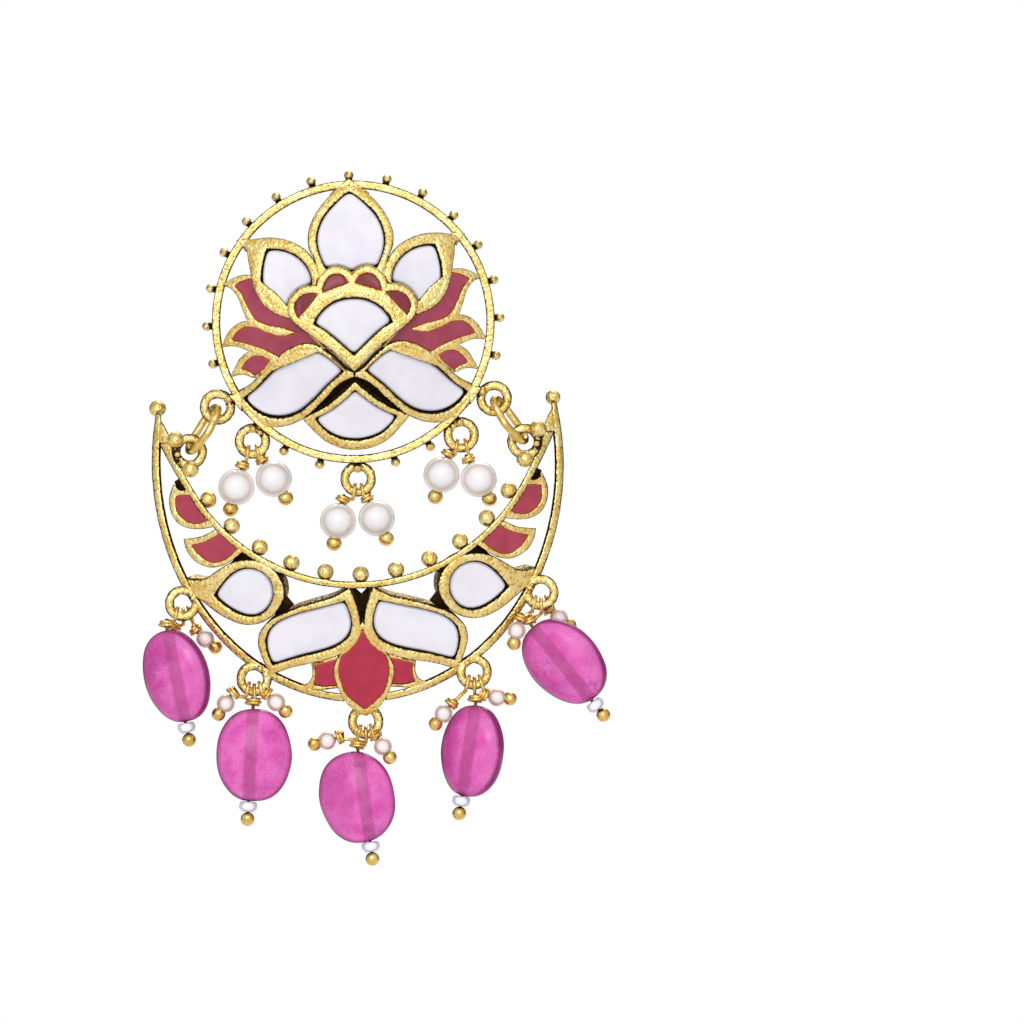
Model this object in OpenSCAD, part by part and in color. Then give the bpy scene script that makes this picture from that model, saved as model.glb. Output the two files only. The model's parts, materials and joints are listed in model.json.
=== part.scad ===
// Lotus and crescent drop earring, in millimetres.
// X runs across the earring, Z up, and the earring faces -Y.
// The origin is where the post passes the ear, on the rim's back plane.

/* [Lotus] */
// Outer radius of the round rim
rim_r = 16.25; // [16.1:0.05:16.4]
// Width of the rim's band, seen from the front
rim_w = 0.95; // [0.8:0.05:1.1]
// Depth of the rim, front to back
rim_depth = 1.9; // [1.6:0.1:2.1]
// Radius of the dome that the lotus follows
lotus_dome_r = 29; // [28.5:0.5:30]
// Depth of the lotus's walls
lotus_wall = 2.6; // [2.4:0.1:2.8]
// How far the scalloped cup stands proud of the dome
cup_rise = 1.2; // [1:0.1:1.4]

/* [Crescent] */
// Radius of the dome that the crescent follows
crescent_dome_r = 45; // [44:0.5:46]
// Depth of the crescent's walls
crescent_wall = 2.2; // [2:0.1:2.4]
// Depth of the crescent's two bands
band_depth = 1.2; // [1.1:0.1:1.4]
// Depth of the walls round the crescent's stones
cell_wall = 3; // [2.8:0.1:3.1]
// Half the crescent's width over its outer band
crescent_a = 23.7; // [23.5:0.1:23.9]
// Height of the crescent below its widest line
crescent_b = 27.5; // [27.3:0.1:27.7]
// Width of the outer band
outer_band_w = 0.9; // [0.8:0.05:1]
// Radius of the inner band's middle line
inner_band_r = 22.1; // [22:0.05:22.2]
// Width of the inner band
inner_band_w = 0.8; // [0.7:0.05:0.9]
// Radius of the balls along the inner band
ball_r = 0.95; // [0.9:0.05:1]

/* [Loops and links] */
// Radius of a loop's middle line
loop_r = 1.5; // [1.45:0.05:1.55]
// Radius of a loop's wire
loop_wire_r = 0.5; // [0.45:0.05:0.5]
// Radius of the round end of a link's middle line
link_end_r = 1.22; // [1.2:0.01:1.25]
// Radius of a link's wire
link_wire_r = 0.38; // [0.34:0.01:0.4]

/* [Stones and enamel] */
// Gap between a stone or an enamel and its wall
fit_gap = 0.06; // [0.05:0.01:0.08]
// Width of a stone's bevel
bevel_w = 0.3; // [0.25:0.05:0.4]
// How far the enamel lies below the metal's edge
enamel_drop = 0.25; // [0.15:0.05:0.35]
// Thickness of the enamel
enamel_t = 0.5; // [0.4:0.05:0.6]

/* [Drops] */
// Radius of a large pearl
pearl_r = 2.1; // [2:0.02:2.1]
// Radius of a small pearl
seed_pearl_r = 1.05; // [1:0.02:1.1]
// Radius of the wire of a head pin
pin_r = 0.21; // [0.19:0.01:0.22]
// Radius of the gold ball under a large pearl
pearl_ball_r = 0.88; // [0.8:0.02:0.9]
// Radius of the gold ball under a small pearl or a bead
small_ball_r = 0.81; // [0.75:0.01:0.85]
// Width of a pink bead
bead_w = 8.9; // [8.6:0.1:9]
// Thickness of a pink bead
bead_t = 4.7; // [4.5:0.1:4.9]

/* [Ear fitting] */
// Radius of the ear post
post_r = 0.44; // [0.4:0.01:0.46]
// How far the post reaches behind the rim's back plane
post_reach = 15; // [14.8:0.1:15.2]
// Outer radius of the ear nut
nut_r = 1.75; // [1.6:0.05:1.8]

/* [Hidden] */

gold = "goldenrod";
enamel_red = "#b03050";
stone_pale = "#ecebf3";
pearl_white = "#f6f1ea";
bead_pink = "#c23c94";

// Columns of an outline's table: place across, height, and 1 where the line turns a corner
X = 0;
Z = 1;
CORNER = 2;
// Spacing of the points along a curved outline
curve_step = 1.5;

// A dome is given by its sphere's middle, and by the planes between which walls are drawn
DOME_Y = 0;
DOME_Z = 1;
NEAR = 2;
FAR = 3;
rim_mid_y = -rim_depth / 2;
rim_z = -4.75;
lotus_y = sqrt(pow(lotus_dome_r, 2) - pow(rim_r - rim_w / 2, 2)) - rim_depth;
lotus = [lotus_y, rim_z, 20, lotus_dome_r + 3];
// The loops of both parts hang in the rim's middle plane
hang_y = rim_mid_y;
crescent_z = -27;
side_loop = [19.3, -19.1];
loop_depth = sqrt(pow(crescent_dome_r - band_depth / 2, 2)
    - pow(side_loop.x, 2) - pow(side_loop.y - crescent_z, 2));
// The crescent lies a little behind its loops, so that it hangs upright
loop_ahead = 0.37;
crescent_y = hang_y + loop_depth + loop_ahead;
crescent = [crescent_y, crescent_z, 33, crescent_dome_r + 2];
dome_sides = 36;
epsilon = 0.01;

// Outlines of the lotus, right half or the whole of the right-hand cell
TOP_PETAL = [
    [0, 11.7, 1], [1.4, 10.7, 0], [3.5, 8.6, 0], [4.75, 6.3, 0], [4.95, 4.2, 0], [4.2, 2.2, 0],
    [3.9, 0, 1], [0, -0.5, 0]
];
TOP_OPENING = [
    [0, 10.35, 1], [1.4, 9.3, 0], [3.1, 7.5, 0], [3.9, 5.5, 0], [3.9, 3.9, 0], [3.4, 2.4, 0],
    [2.75, 1.75, 1]
];
SIDE_PETAL = [
    [13, 4.9, 1], [11.2, 5.2, 0], [9, 5.3, 0], [7, 4.8, 0], [5.1, 3.6, 0], [3.9, 1.7, 0],
    [3.7, 0.2, 1], [5.5, -3, 1], [7.4, -4.2, 1], [9, -3.6, 0], [10.5, -2.3, 0], [11.4, -0.4, 0],
    [11.85, 2, 0], [12.1, 3.9, 1], [12.6, 4.4, 1]
];
SIDE_OPENING = [
    [9.75, 3.95, 1], [10.3, 2.2, 0], [10.5, 0.3, 0], [10, -1.4, 0], [8.9, -2.6, 0],
    [7.95, -2.95, 1], [7.6, -1.9, 0], [6.8, -0.95, 0], [5.7, -0.45, 0], [4.85, -0.35, 1],
    [5, 1.3, 0], [6.1, 2.9, 0], [7.8, 3.8, 0]
];
CUP = [
    [0, 0.75, 1], [0.7, 1.35, 0], [1.8, 1.68, 0], [3, 1.25, 0], [3.8, 0.4, 0], [4.1, -0.45, 1],
    [5.4, -0.55, 0], [6.6, -1.2, 0], [7.4, -2.3, 0], [7.4, -3.8, 0], [6.1, -5.35, 1],
    [4.3, -6.7, 0], [2.2, -8.35, 0], [0, -10.6, 1]
];
FAN_OPENING = [
    [0, -1.95, 0], [1.6, -2.15, 0], [3.1, -2.95, 0], [4.1, -4, 0], [4.6, -4.95, 1],
    [3.3, -5.7, 0], [1.6, -7.2, 0], [0, -8.7, 1]
];
INNER_SCALLOP = [
    [0.4, -0.25, 1], [0.9, 0.45, 0], [1.7, 0.78, 0], [2.5, 0.6, 0], [3.1, -0.1, 0], [3.42, -1.3, 1],
    [1.9, -0.75, 0]
];
OUTER_SCALLOP = [
    [3.95, -1.45, 1], [5.2, -1.4, 0], [6.2, -1.9, 0], [6.7, -2.9, 0], [6.3, -4.1, 1],
    [5.2, -2.95, 0]
];
LEAF = [
    [14.4, -12.75, 1], [12.2, -11.6, 0], [10, -9.6, 0], [8, -7.9, 0], [6, -7.1, 0], [4.4, -7.25, 0],
    [2.7, -8.4, 0], [0.9, -10.1, 0], [0, -10.6, 1], [0, -11.15, 1], [1.6, -11.8, 0],
    [3.6, -13.7, 0], [5.8, -15.6, 0], [8.2, -16.6, 0], [10.6, -16.5, 0], [12.7, -15.2, 0]
];
LEAF_OPENING = [
    [12.95, -13.15, 1], [11.6, -12.15, 0], [9.8, -10.4, 0], [8, -8.9, 0], [6.2, -8, 0],
    [4.4, -8.05, 0], [2.7, -9.1, 0], [1.25, -10.5, 1], [3, -11.9, 0], [4.8, -13.7, 0],
    [6.6, -15.1, 0], [8.5, -15.65, 0], [10.5, -15.35, 0], [12, -14.35, 0]
];
BASE_PETAL = [
    [0, -11.6, 1], [1.8, -13.2, 0], [3.8, -14.6, 0], [6.3, -15.7, 1], [5.1, -17.1, 0],
    [3.6, -18.5, 0], [1.8, -19.35, 0], [0, -19.55, 0]
];
BASE_OPENING = [
    [0, -12.65, 1], [1.6, -14.05, 0], [3.2, -15.1, 0], [4.75, -15.8, 1], [3.9, -16.9, 0],
    [2.5, -17.95, 0], [0, -18.5, 0]
];
ARMS = [
    [11.5, 1.05, 1], [12.7, 1.05, 0], [13.9, 0.7, 0], [15.2, -0.05, 1], [14.1, -0.45, 0],
    [13.3, -1.5, 0], [12.8, -2.9, 0], [12.3, -4.25, 1], [13.5, -4.6, 0], [14.5, -5.5, 0],
    [15.4, -7.25, 1], [13.8, -7.2, 0], [12.2, -7.8, 1], [13.2, -8.5, 0], [13.9, -9.7, 0],
    [14.5, -10.75, 1], [13, -10.5, 0], [11.9, -10.9, 1], [9, -10, 1], [5, -8.5, 1],
    [3.3, -7.75, 1], [5, -6, 1], [6.8, -3.5, 1], [9, -1, 1]
];
ARMS_ENAMEL = [
    [11.65, 0.55, 1], [12.6, 0.4, 0], [13.65, -0.15, 1], [12.8, -1.2, 0], [12.15, -2.7, 0],
    [11.3, -4.1, 0], [10, -4.8, 0], [8.2, -5.2, 0], [6.5, -5.8, 1], [8.4, -6.15, 0],
    [10, -5.7, 0], [11.5, -5.05, 0], [13, -5.15, 0], [14.15, -6.45, 1], [12.2, -6.95, 0],
    [10.4, -7.65, 0], [9.1, -8.2, 1], [7.5, -7.4, 0], [6, -6.95, 0], [4.8, -6.95, 0],
    [3.7, -7.3, 1], [4.9, -6.3, 0], [6.5, -5.3, 0], [7.7, -3.95, 1], [9.4, -3.3, 0],
    [10.6, -2.2, 0], [11.35, -0.9, 0]
];
THIRD_ENAMEL = [
    [9.95, -8.65, 1], [11.4, -8.35, 0], [12.4, -8.85, 0], [13.15, -9.85, 1], [12.2, -10.05, 0],
    [11.5, -10.4, 1]
];

// Outlines of the crescent, right half or the whole of the right-hand cell
HORN = [
    [22.6, -15.3, 1], [23, -16.5, 0], [23, -17.95, 1], [22.2, -18.1, 1], [21.1, -18.15, 1],
    [21.6, -17.1, 0], [22.1, -16, 0]
];
DROP_CELL = [
    [20.2, -33.6, 1], [18.3, -33.85, 0], [16.8, -33, 0], [15.3, -32.15, 0], [13.6, -31.75, 0],
    [11.6, -31.95, 0], [10, -33, 0], [9, -34.6, 0], [9, -36.4, 0], [10.1, -38.1, 0],
    [12, -39.15, 0], [14.2, -39.1, 0], [16.4, -38, 0], [18.2, -36.6, 0], [19.5, -35.6, 1]
];
DROP_OPENING = [
    [17.05, -35.75, 1], [15.8, -34.1, 0], [14.5, -33, 0], [13.1, -32.65, 0], [11.6, -33.05, 0],
    [10.5, -34.1, 0], [10.15, -35.5, 0], [10.5, -36.9, 0], [11.5, -37.95, 0], [13, -38.3, 0],
    [15, -37.5, 0]
];
WING_CELL = [
    [1.35, -35.2, 1], [3.2, -36.25, 0], [6, -37, 0], [8.4, -37.75, 0], [10.6, -38.75, 0],
    [11.9, -40.2, 0], [12.05, -42, 0], [10.8, -45.15, 1], [8.4, -44.35, 0], [5.2, -43.75, 0],
    [2.6, -42.95, 0], [1, -41.75, 0], [0.25, -40.2, 0], [0.4, -37.8, 0]
];
WING_OPENING = [
    [1.95, -36.8, 1], [4.5, -37.4, 0], [7.5, -38.1, 0], [9.7, -38.95, 0], [10.95, -40.2, 0],
    [11.15, -41.9, 0], [10.5, -43.95, 1], [8, -43.25, 0], [5, -42.6, 0], [2.9, -41.9, 0],
    [1.6, -40.8, 0], [1.2, -39.2, 0]
];
FIRST_TIP = [
    [19.5, -23.2, 1], [20.4, -23.5, 0], [21.2, -22.75, 1], [21.75, -24.2, 0], [21.7, -25.8, 0],
    [20.9, -27.2, 0], [19.4, -27.95, 0], [17, -27.9, 1], [16.6, -27, 1]
];
FIRST_TIP_ENAMEL = [
    [21, -24.15, 1], [19.6, -24.2, 0], [18.7, -25.1, 0], [17.5, -27.05, 1], [18.9, -27.4, 0],
    [20.1, -26.9, 0], [20.95, -25.8, 0]
];
SECOND_TIP = [
    [16.6, -28.1, 1], [18.1, -28.8, 0], [20.25, -29.1, 1], [20, -30.3, 0], [19.1, -31.6, 0],
    [17.4, -32.45, 0], [15.6, -32.2, 0], [13.9, -31.1, 1], [14.9, -29.4, 1]
];
SECOND_TIP_ENAMEL = [
    [16.2, -28.8, 1], [17.6, -29.45, 0], [19.25, -30, 1], [18.5, -31, 0], [17.2, -31.85, 0],
    [15.6, -31.6, 0], [14.35, -30.6, 1]
];
BUD = [
    [0, -39.2, 1], [2.6, -42.8, 1], [3.45, -44.4, 0], [3.3, -46.1, 0], [2.5, -48, 0],
    [1.3, -49.5, 0], [0, -50.15, 1]
];
BUD_ENAMEL = [
    [0, -40, 1], [0.4, -41.05, 0], [1.15, -42.1, 0], [2.55, -43.1, 1], [2.9, -44.6, 0],
    [2.7, -46.1, 0], [2, -47.7, 0], [0, -49.4, 1]
];
BUD_SIDE = [
    [2.9, -43, 1], [6, -43.9, 1], [5.95, -45.2, 0], [6.4, -46, 0], [7.3, -46.3, 1],
    [6.6, -46.95, 1], [5, -46.95, 0], [2.9, -46.75, 1]
];
BUD_SIDE_ENAMEL = [
    [3.6, -43.75, 1], [5.4, -44.15, 1], [5.35, -45.1, 0], [5.6, -46.05, 1], [4.5, -46.35, 0],
    [3.55, -46.1, 1]
];

// Plate that closes the slots between the leaves and the base petal from behind
SLOT_BACK = [
    [0, -10.8, 1], [1.8, -11.4, 1], [4, -13.3, 1], [6.4, -15.4, 1], [6, -16.2, 1],
    [3.8, -15.2, 1], [1.6, -13.9, 1], [0, -12.5, 1]
];
// Plate that closes the gap between the two wings from behind
WING_BACK = [[0, -36.7, 1], [0.9, -36.9, 1], [0.9, -41.3, 1], [0, -41.7, 1]];

// Angle between two pins of the rim
rim_pin_pitch = 15;
rim_pin_r = 0.57;
rim_pin_len = 2.2;
// Loops: place of the middle, across and up
UPPER_LOOPS = [[15.9, -14.05], [12, -18.1]];
bottom_loop = [0, -22.8];
crescent_ball_pitch = 11.15;
crescent_arc_z = -12.9;
crescent_side_balls = 7;
LOWER_LOOPS = [[12.65, -45.4], [20.6, -36.5]];
bud_loop = [0, -50.7];
horn_tip = [22.7, -14.25];

// Columns of the drops' tables: places across and up, what the pin points at, how far the drop
// lies in front of its loop, and how far the pin's eye lies to the side of the loop's middle
PLACE = 0;
TOWARDS = 1;
FORWARD = 2;
EYE = 3;
PEARLS = [
    [[-14, -23.35], [-14.85, -26.15], 0.25, -0.6],
    [[-9.7, -22.5], [-8.65, -25], -0.25, 0.6],
    [[-2.45, -27.6], [-3.05, -30.4], 0.2, -0.5],
    [[2, -27.4], [3.1, -29.95], -0.2, 0.5],
    [[9.6, -22.65], [8.75, -25.3], -0.2, -0.6],
    [[13.85, -23.25], [14.8, -25.85], 0.2, 0.6]
];
SEED_PAIRS = [
    [[[-18.15, -40.65], [-17, -41.65], -1.2, 0.8], [[-22.1, -40.7], [-22.5, -42.3], -3.5, 0]],
    [[[-16, -48.15], [-17.1, -49.7], 0.6, -0.8], [[-10.2, -48.2], [-9.2, -49.2], 0.6, 0.8]],
    [[[-4.5, -52.8], [-6.2, -53.2], 0.6, -0.8], [[1.9, -53.65], [2.8, -55.15], 1, 0.8]],
    [[[9, -50.1], [7.9, -51.4], 0.6, -0.8], [[15.2, -48.4], [16.7, -48.6], 0.6, 0.8]],
    [[[17.7, -40.8], [17.3, -42.4], 1.1, -0.8], [[22.6, -39.5], [23.8, -40.4], -2, 0.8]]
];
// Columns of the pink beads' table: where the pin meets the bead, where the pin's ball is, the two
// ends of the bead's own length, its turn about that length, and the eye's place as above
SEAT = 0;
PIN_BALL = 1;
BEAD_TOP = 2;
BEAD_END = 3;
TURN = 4;
BEAD_EYE = 5;
BEADS = [
    [[-22.5, -39.25], [-20.35, -52.2], [-22.9, -39.5], [-20.2, -50.2], 36, -0.8],
    [[-12.85, -48.5], [-13.9, -61.5], [-12.8, -48.7], [-13.1, -59.6], 0, 0],
    [[-1, -53.8], [0.3, -66.55], [-2.3, -54.1], [-0.2, -64.7], 6, 0],
    [[12.75, -48.9], [10.45, -61.6], [12.85, -49.1], [11.5, -59.9], 41, 0],
    [[19.3, -40.1], [27.35, -50.8], [19.3, -40.4], [26.8, -48.6], 27, 0]
];

// Points of an outline
function row_xz(row) = [row[X], row[Z]];
function unit(v) = v / norm(v);
function row_at(rows, i) = rows[(i + len(rows)) % len(rows)];
function heading(rows, i) = unit(row_xz(row_at(rows, i + 1)) - row_xz(row_at(rows, i - 1)));

// Curve from knot i to the next one, with a free direction at a corner
function stretch(rows, i, step) =
    let (
        from = row_at(rows, i),
        to = row_at(rows, i + 1),
        p = row_xz(from),
        q = row_xz(to),
        chord = q - p,
        free_from = from[CORNER] == 1,
        free_to = to[CORNER] == 1,
        end_dir = free_to ? chord : heading(rows, i + 1) * norm(chord),
        start_dir = free_from ? 1.5 * chord - 0.5 * end_dir : heading(rows, i) * norm(chord),
        last_dir = free_to ? 1.5 * chord - 0.5 * start_dir : end_dir,
        n = free_from && free_to ? 1 : max(1, round(norm(chord) / step))
    )
    [for (k = [0:n - 1])
        let (t = k / n, s = 1 - t)
        p * (s * s * (1 + 2 * t)) + q * (t * t * (3 - 2 * t))
            + start_dir * (t * s * s) - last_dir * (t * t * s)];
function closed_curve(rows, step) = [for (i = [0:len(rows) - 1]) each stretch(rows, i, step)];

// The whole of a symmetric outline from its right half, which starts and ends in the middle
function both_halves(rows) = concat(
    rows,
    [for (i = [len(rows) - 1:-1:0]) if (rows[i][X] > epsilon) [-rows[i][X], rows[i][Z], rows[i][CORNER]]]
);
function signed_area(points) =
    [for (i = [0:len(points) - 1])
        let (p = points[i], q = points[(i + 1) % len(points)])
        p.x * q.y - q.x * p.y] * [for (p = points) 0.5];
function anticlockwise(points) =
    signed_area(points) > 0 ? points : [for (i = [len(points) - 1:-1:0]) points[i]];
function outline(rows) = anticlockwise(closed_curve(rows, curve_step));
function whole_outline(rows) = outline(both_halves(rows));
function mirrored(points) = anticlockwise([for (p = points) [-p.x, p.y]]);
function on_side(points, side) = side > 0 ? points : mirrored(points);

// The outline moved inwards by d, with pointed corners
function inset(points, d) =
    let (n = len(points))
    [for (i = [0:n - 1])
        let (
            u = unit(points[i] - points[(i + n - 1) % n]),
            v = unit(points[(i + 1) % n] - points[i]),
            across = [-u.y - v.y, u.x + v.x]
        )
        points[i] + across * d / (1 + u * v)];

// Direction from a dome's middle to the point of radius r that is seen at p
function ray(p, dome, r) =
    let (q = [p.x, p.y - dome[DOME_Z]])
    [q.x, -sqrt(r * r - q * q), q.y] / r;
function dome_middle(dome) = [0, dome[DOME_Y], dome[DOME_Z]];
function dome_point(p, dome, r) = dome_middle(dome) + r * ray(p, dome, r);
// The outline on the near drawing plane of a dome
function on_near_plane(points, dome, r) =
    [for (p = points) let (d = ray(p, dome, r)) [d.x, d.z] * dome[NEAR] / -d.y];

module dome_ball(dome, r) {
    translate(dome_middle(dome))
        hull()
            sphere(r, $fn = dome_sides);
}

// Walls that stand square to the dome, from depth_r out to top_r, over the outlines in its children
module dome_walls(dome, depth_r, top_r) {
    intersection() {
        translate([0, dome[DOME_Y] - dome[NEAR], dome[DOME_Z]])
            rotate([90, 0, 0])
                linear_extrude(height = dome[FAR] - dome[NEAR], scale = dome[FAR] / dome[NEAR])
                    children();
        difference() {
            dome_ball(dome, top_r);
            dome_ball(dome, depth_r);
        }
    }
}

// Walls that stand straight back from the dome's front, over the outlines in its children
module straight_walls(dome, depth_r, top_r) {
    intersection() {
        translate([0, dome[DOME_Y] - dome[NEAR], 0])
            rotate([90, 0, 0])
                linear_extrude(height = dome[FAR] - dome[NEAR])
                    children();
        difference() {
            dome_ball(dome, top_r);
            dome_ball(dome, depth_r);
        }
    }
}

module shape_on(points, dome, r) {
    polygon(on_near_plane(points, dome, r));
}

module both_shapes(rows, dome, r) {
    for (side = [-1, 1])
        shape_on(on_side(outline(rows), side), dome, r);
}

module middle_shape(rows, dome, r) {
    shape_on(whole_outline(rows), dome, r);
}

// Places its children with their Z axis from a towards b
module along(a, b) {
    v = b - a;
    translate(a)
        rotate([0, acos(v.z / norm(v)), atan2(v.y, v.x)])
            children();
}

module wire_ring(r, wire_r, sides, wire_sides) {
    rotate_extrude($fn = sides)
        translate([r, 0])
            circle(wire_r, $fn = wire_sides);
}

// A loop cast on the metal, facing the front
module cast_loop(place, y) {
    translate([place.x, y, place.y])
        rotate([90, 0, 0])
            wire_ring(loop_r, loop_wire_r, 16, 6);
}

// Lotus

module lotus_outlines() {
    middle_shape(TOP_PETAL, lotus, lotus_dome_r);
    both_shapes(SIDE_PETAL, lotus, lotus_dome_r);
    both_shapes(LEAF, lotus, lotus_dome_r);
    middle_shape(BASE_PETAL, lotus, lotus_dome_r);
    both_shapes(ARMS, lotus, lotus_dome_r);
}

module lotus_openings() {
    middle_shape(TOP_OPENING, lotus, lotus_dome_r);
    both_shapes(SIDE_OPENING, lotus, lotus_dome_r);
    both_shapes(LEAF_OPENING, lotus, lotus_dome_r);
    middle_shape(BASE_OPENING, lotus, lotus_dome_r);
}

cup_r = lotus_dome_r + cup_rise;
stone_floor = 0.55;
lotus_back_r = lotus_dome_r - lotus_wall;
fan_floor_r = lotus_dome_r - 0.8;
enamel_depth = enamel_drop + enamel_t + fit_gap;
outside = 2;
back_plate_t = 0.5;
pad_y = -2.95;
pad_t = 0.5;
pad_r = 2.2;

// One pin of the rim: a short barrel with round ends, on a neck
module rim_pin(angle) {
    translate([0, rim_mid_y, rim_z])
        rotate([0, angle, 0]) {
            translate([0, 0, rim_r + 0.62])
                hull()
                    for (end = [-1, 1])
                        translate([0, end * (rim_pin_len / 2 - rim_pin_r), 0])
                            sphere(rim_pin_r, $fn = 8);
            translate([0, 0, rim_r - 0.3])
                cylinder(h = 0.7, r = 0.36, $fn = 5);
        }
}

module upper_frame() {
    color(gold)
        union() {
            difference() {
                union() {
                    intersection() {
                        dome_walls(lotus, lotus_back_r, lotus_dome_r)
                            lotus_outlines();
                        translate([-rim_r, -20, rim_z - rim_r])
                            cube([2 * rim_r, 20, 2 * rim_r]);
                    }
                    dome_walls(lotus, lotus_back_r, cup_r)
                        middle_shape(CUP, lotus, cup_r);
                    dome_walls(lotus, lotus_back_r, lotus_back_r + back_plate_t)
                        middle_shape(SLOT_BACK, lotus, lotus_dome_r);
                    translate([0, pad_y, 0])
                        rotate([90, 0, 0])
                            cylinder(h = 1.6, r = pad_r + 0.2, $fn = 16);
                }
                dome_walls(lotus, lotus_back_r + stone_floor, lotus_dome_r + outside)
                    lotus_openings();
                dome_walls(lotus, lotus_dome_r - enamel_depth, lotus_dome_r + outside) {
                    both_shapes(ARMS_ENAMEL, lotus, lotus_dome_r);
                    both_shapes(THIRD_ENAMEL, lotus, lotus_dome_r);
                }
                dome_walls(lotus, fan_floor_r, cup_r + 1)
                    middle_shape(FAN_OPENING, lotus, cup_r);
                dome_walls(lotus, cup_r - enamel_depth, cup_r + 1) {
                    both_shapes(INNER_SCALLOP, lotus, cup_r);
                    both_shapes(OUTER_SCALLOP, lotus, cup_r);
                }
            }
            translate([0, 0, rim_z])
                rotate([90, 0, 0])
                    difference() {
                        cylinder(h = rim_depth, r = rim_r, $fn = 72);
                        translate([0, 0, -1])
                            cylinder(h = rim_depth + 2, r = rim_r - rim_w, $fn = 72);
                    }
            for (angle = [0:rim_pin_pitch:360 - rim_pin_pitch])
                rim_pin(angle);
            for (side = [-1, 1], place = UPPER_LOOPS)
                cast_loop([side * place.x, place.y], hang_y);
            cast_loop(bottom_loop, hang_y);
        }
}

// Stones

// A flat stone cut to an outline: walls square to the dome, a bevel and a flat table
module cut_stone(points, dome, r, base_r, girdle_r, table_r) {
    n = len(points);
    snug = inset(points, fit_gap);
    table = inset(points, bevel_w);
    middle = [for (p = snug) 1] * snug / n;
    face = ray(middle, dome, r);
    levels = [
        for (layer = [[snug, base_r], [snug, girdle_r], [table, table_r]])
            each [for (p = layer[0])
                let (d = ray(p, dome, r))
                dome_middle(dome) + d * layer[1] / (d * face)]
    ];
    middles = [for (level = [base_r, table_r]) dome_middle(dome) + face * level];
    walls = [for (layer = [0, 1], i = [0:n - 1])
        let (j = (i + 1) % n, low = layer * n, high = low + n)
        [low + i, high + i, high + j, low + j]];
    back = [for (i = [0:n - 1]) [i, (i + 1) % n, 3 * n]];
    front = [for (i = [0:n - 1]) [2 * n + (i + 1) % n, 2 * n + i, 3 * n + 1]];
    color(stone_pale)
        polyhedron(points = concat(levels, middles), faces = concat(back, front, walls));
}

stone_base_r = lotus_back_r + stone_floor + fit_gap;
bevel_depth = 0.2;

// A stone of the lotus, with its table drop below the metal's edge
module lotus_stone(points, drop) {
    table_r = lotus_dome_r - drop;
    cut_stone(points, lotus, lotus_dome_r, stone_base_r, table_r - bevel_depth, table_r);
}

module stone_top() {
    lotus_stone(whole_outline(TOP_OPENING), 0.65);
}

module stone_side(side) {
    lotus_stone(on_side(outline(SIDE_OPENING), side), 0.65);
}

module stone_leaf(side) {
    lotus_stone(on_side(outline(LEAF_OPENING), side), 1.05);
}

module stone_base() {
    lotus_stone(whole_outline(BASE_OPENING), 0.65);
}

module stone_fan() {
    cut_stone(whole_outline(FAN_OPENING), lotus, cup_r,
        fan_floor_r + fit_gap, cup_r - 1.1, cup_r - 0.9);
}

crescent_back_r = crescent_dome_r - crescent_wall;
cell_back_r = crescent_dome_r - cell_wall;

module crescent_stone(points) {
    cut_stone(points, crescent, crescent_dome_r,
        cell_back_r + stone_floor + fit_gap, crescent_dome_r - 0.85, crescent_dome_r - 0.65);
}

module stone_drop(side) {
    crescent_stone(on_side(outline(DROP_OPENING), side));
}

module stone_wing(side) {
    crescent_stone(on_side(outline(WING_OPENING), side));
}

// Enamel

module enamel(dome, r) {
    color(enamel_red)
        dome_walls(dome, r - enamel_drop - enamel_t, r - enamel_drop)
            children();
}

module snug_shape(rows, dome, r, side) {
    shape_on(inset(on_side(outline(rows), side), fit_gap), dome, r);
}

module enamel_scallops() {
    enamel(lotus, cup_r)
        for (side = [-1, 1]) {
            snug_shape(INNER_SCALLOP, lotus, cup_r, side);
            snug_shape(OUTER_SCALLOP, lotus, cup_r, side);
        }
}

module enamel_arms(side) {
    enamel(lotus, lotus_dome_r) {
        snug_shape(ARMS_ENAMEL, lotus, lotus_dome_r, side);
        snug_shape(THIRD_ENAMEL, lotus, lotus_dome_r, side);
    }
}

module enamel_bud() {
    enamel(crescent, crescent_dome_r) {
        shape_on(inset(whole_outline(BUD_ENAMEL), fit_gap), crescent, crescent_dome_r);
        for (side = [-1, 1])
            snug_shape(BUD_SIDE_ENAMEL, crescent, crescent_dome_r, side);
    }
}

module enamel_tips(side) {
    enamel(crescent, crescent_dome_r) {
        snug_shape(FIRST_TIP_ENAMEL, crescent, crescent_dome_r, side);
        snug_shape(SECOND_TIP_ENAMEL, crescent, crescent_dome_r, side);
    }
}

// Crescent

side_z = -21;
inner_sweep = 77;
outer_sweep = 103.6;
band_steps = 36;

function arc_points(a, b, z, sweep) =
    [for (k = [-band_steps / 2:band_steps / 2])
        let (t = sweep * k / (band_steps / 2))
        [a * sin(t), z - b * cos(t)]];
function band(a, b, z, sweep, w) =
    let (
        outer = arc_points(a, b, z, sweep),
        inner = arc_points(a - w, b - w, z, sweep)
    )
    concat(outer, [for (k = [band_steps:-1:0]) inner[k]]);
outer_edge_r = inner_band_r + inner_band_w / 2;
outer_band = band(crescent_a, crescent_b, side_z, outer_sweep, outer_band_w);
inner_band = band(outer_edge_r, outer_edge_r, crescent_arc_z, inner_sweep, inner_band_w);

module crescent_outlines() {
    both_shapes(FIRST_TIP, crescent, crescent_dome_r);
    both_shapes(SECOND_TIP, crescent, crescent_dome_r);
    middle_shape(BUD, crescent, crescent_dome_r);
    both_shapes(BUD_SIDE, crescent, crescent_dome_r);
}

// A ball cast on the crescent's front
module crescent_ball(place) {
    translate(dome_point(place, crescent, crescent_dome_r - ball_r))
        hull()
            sphere(ball_r, $fn = 10);
}

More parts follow.
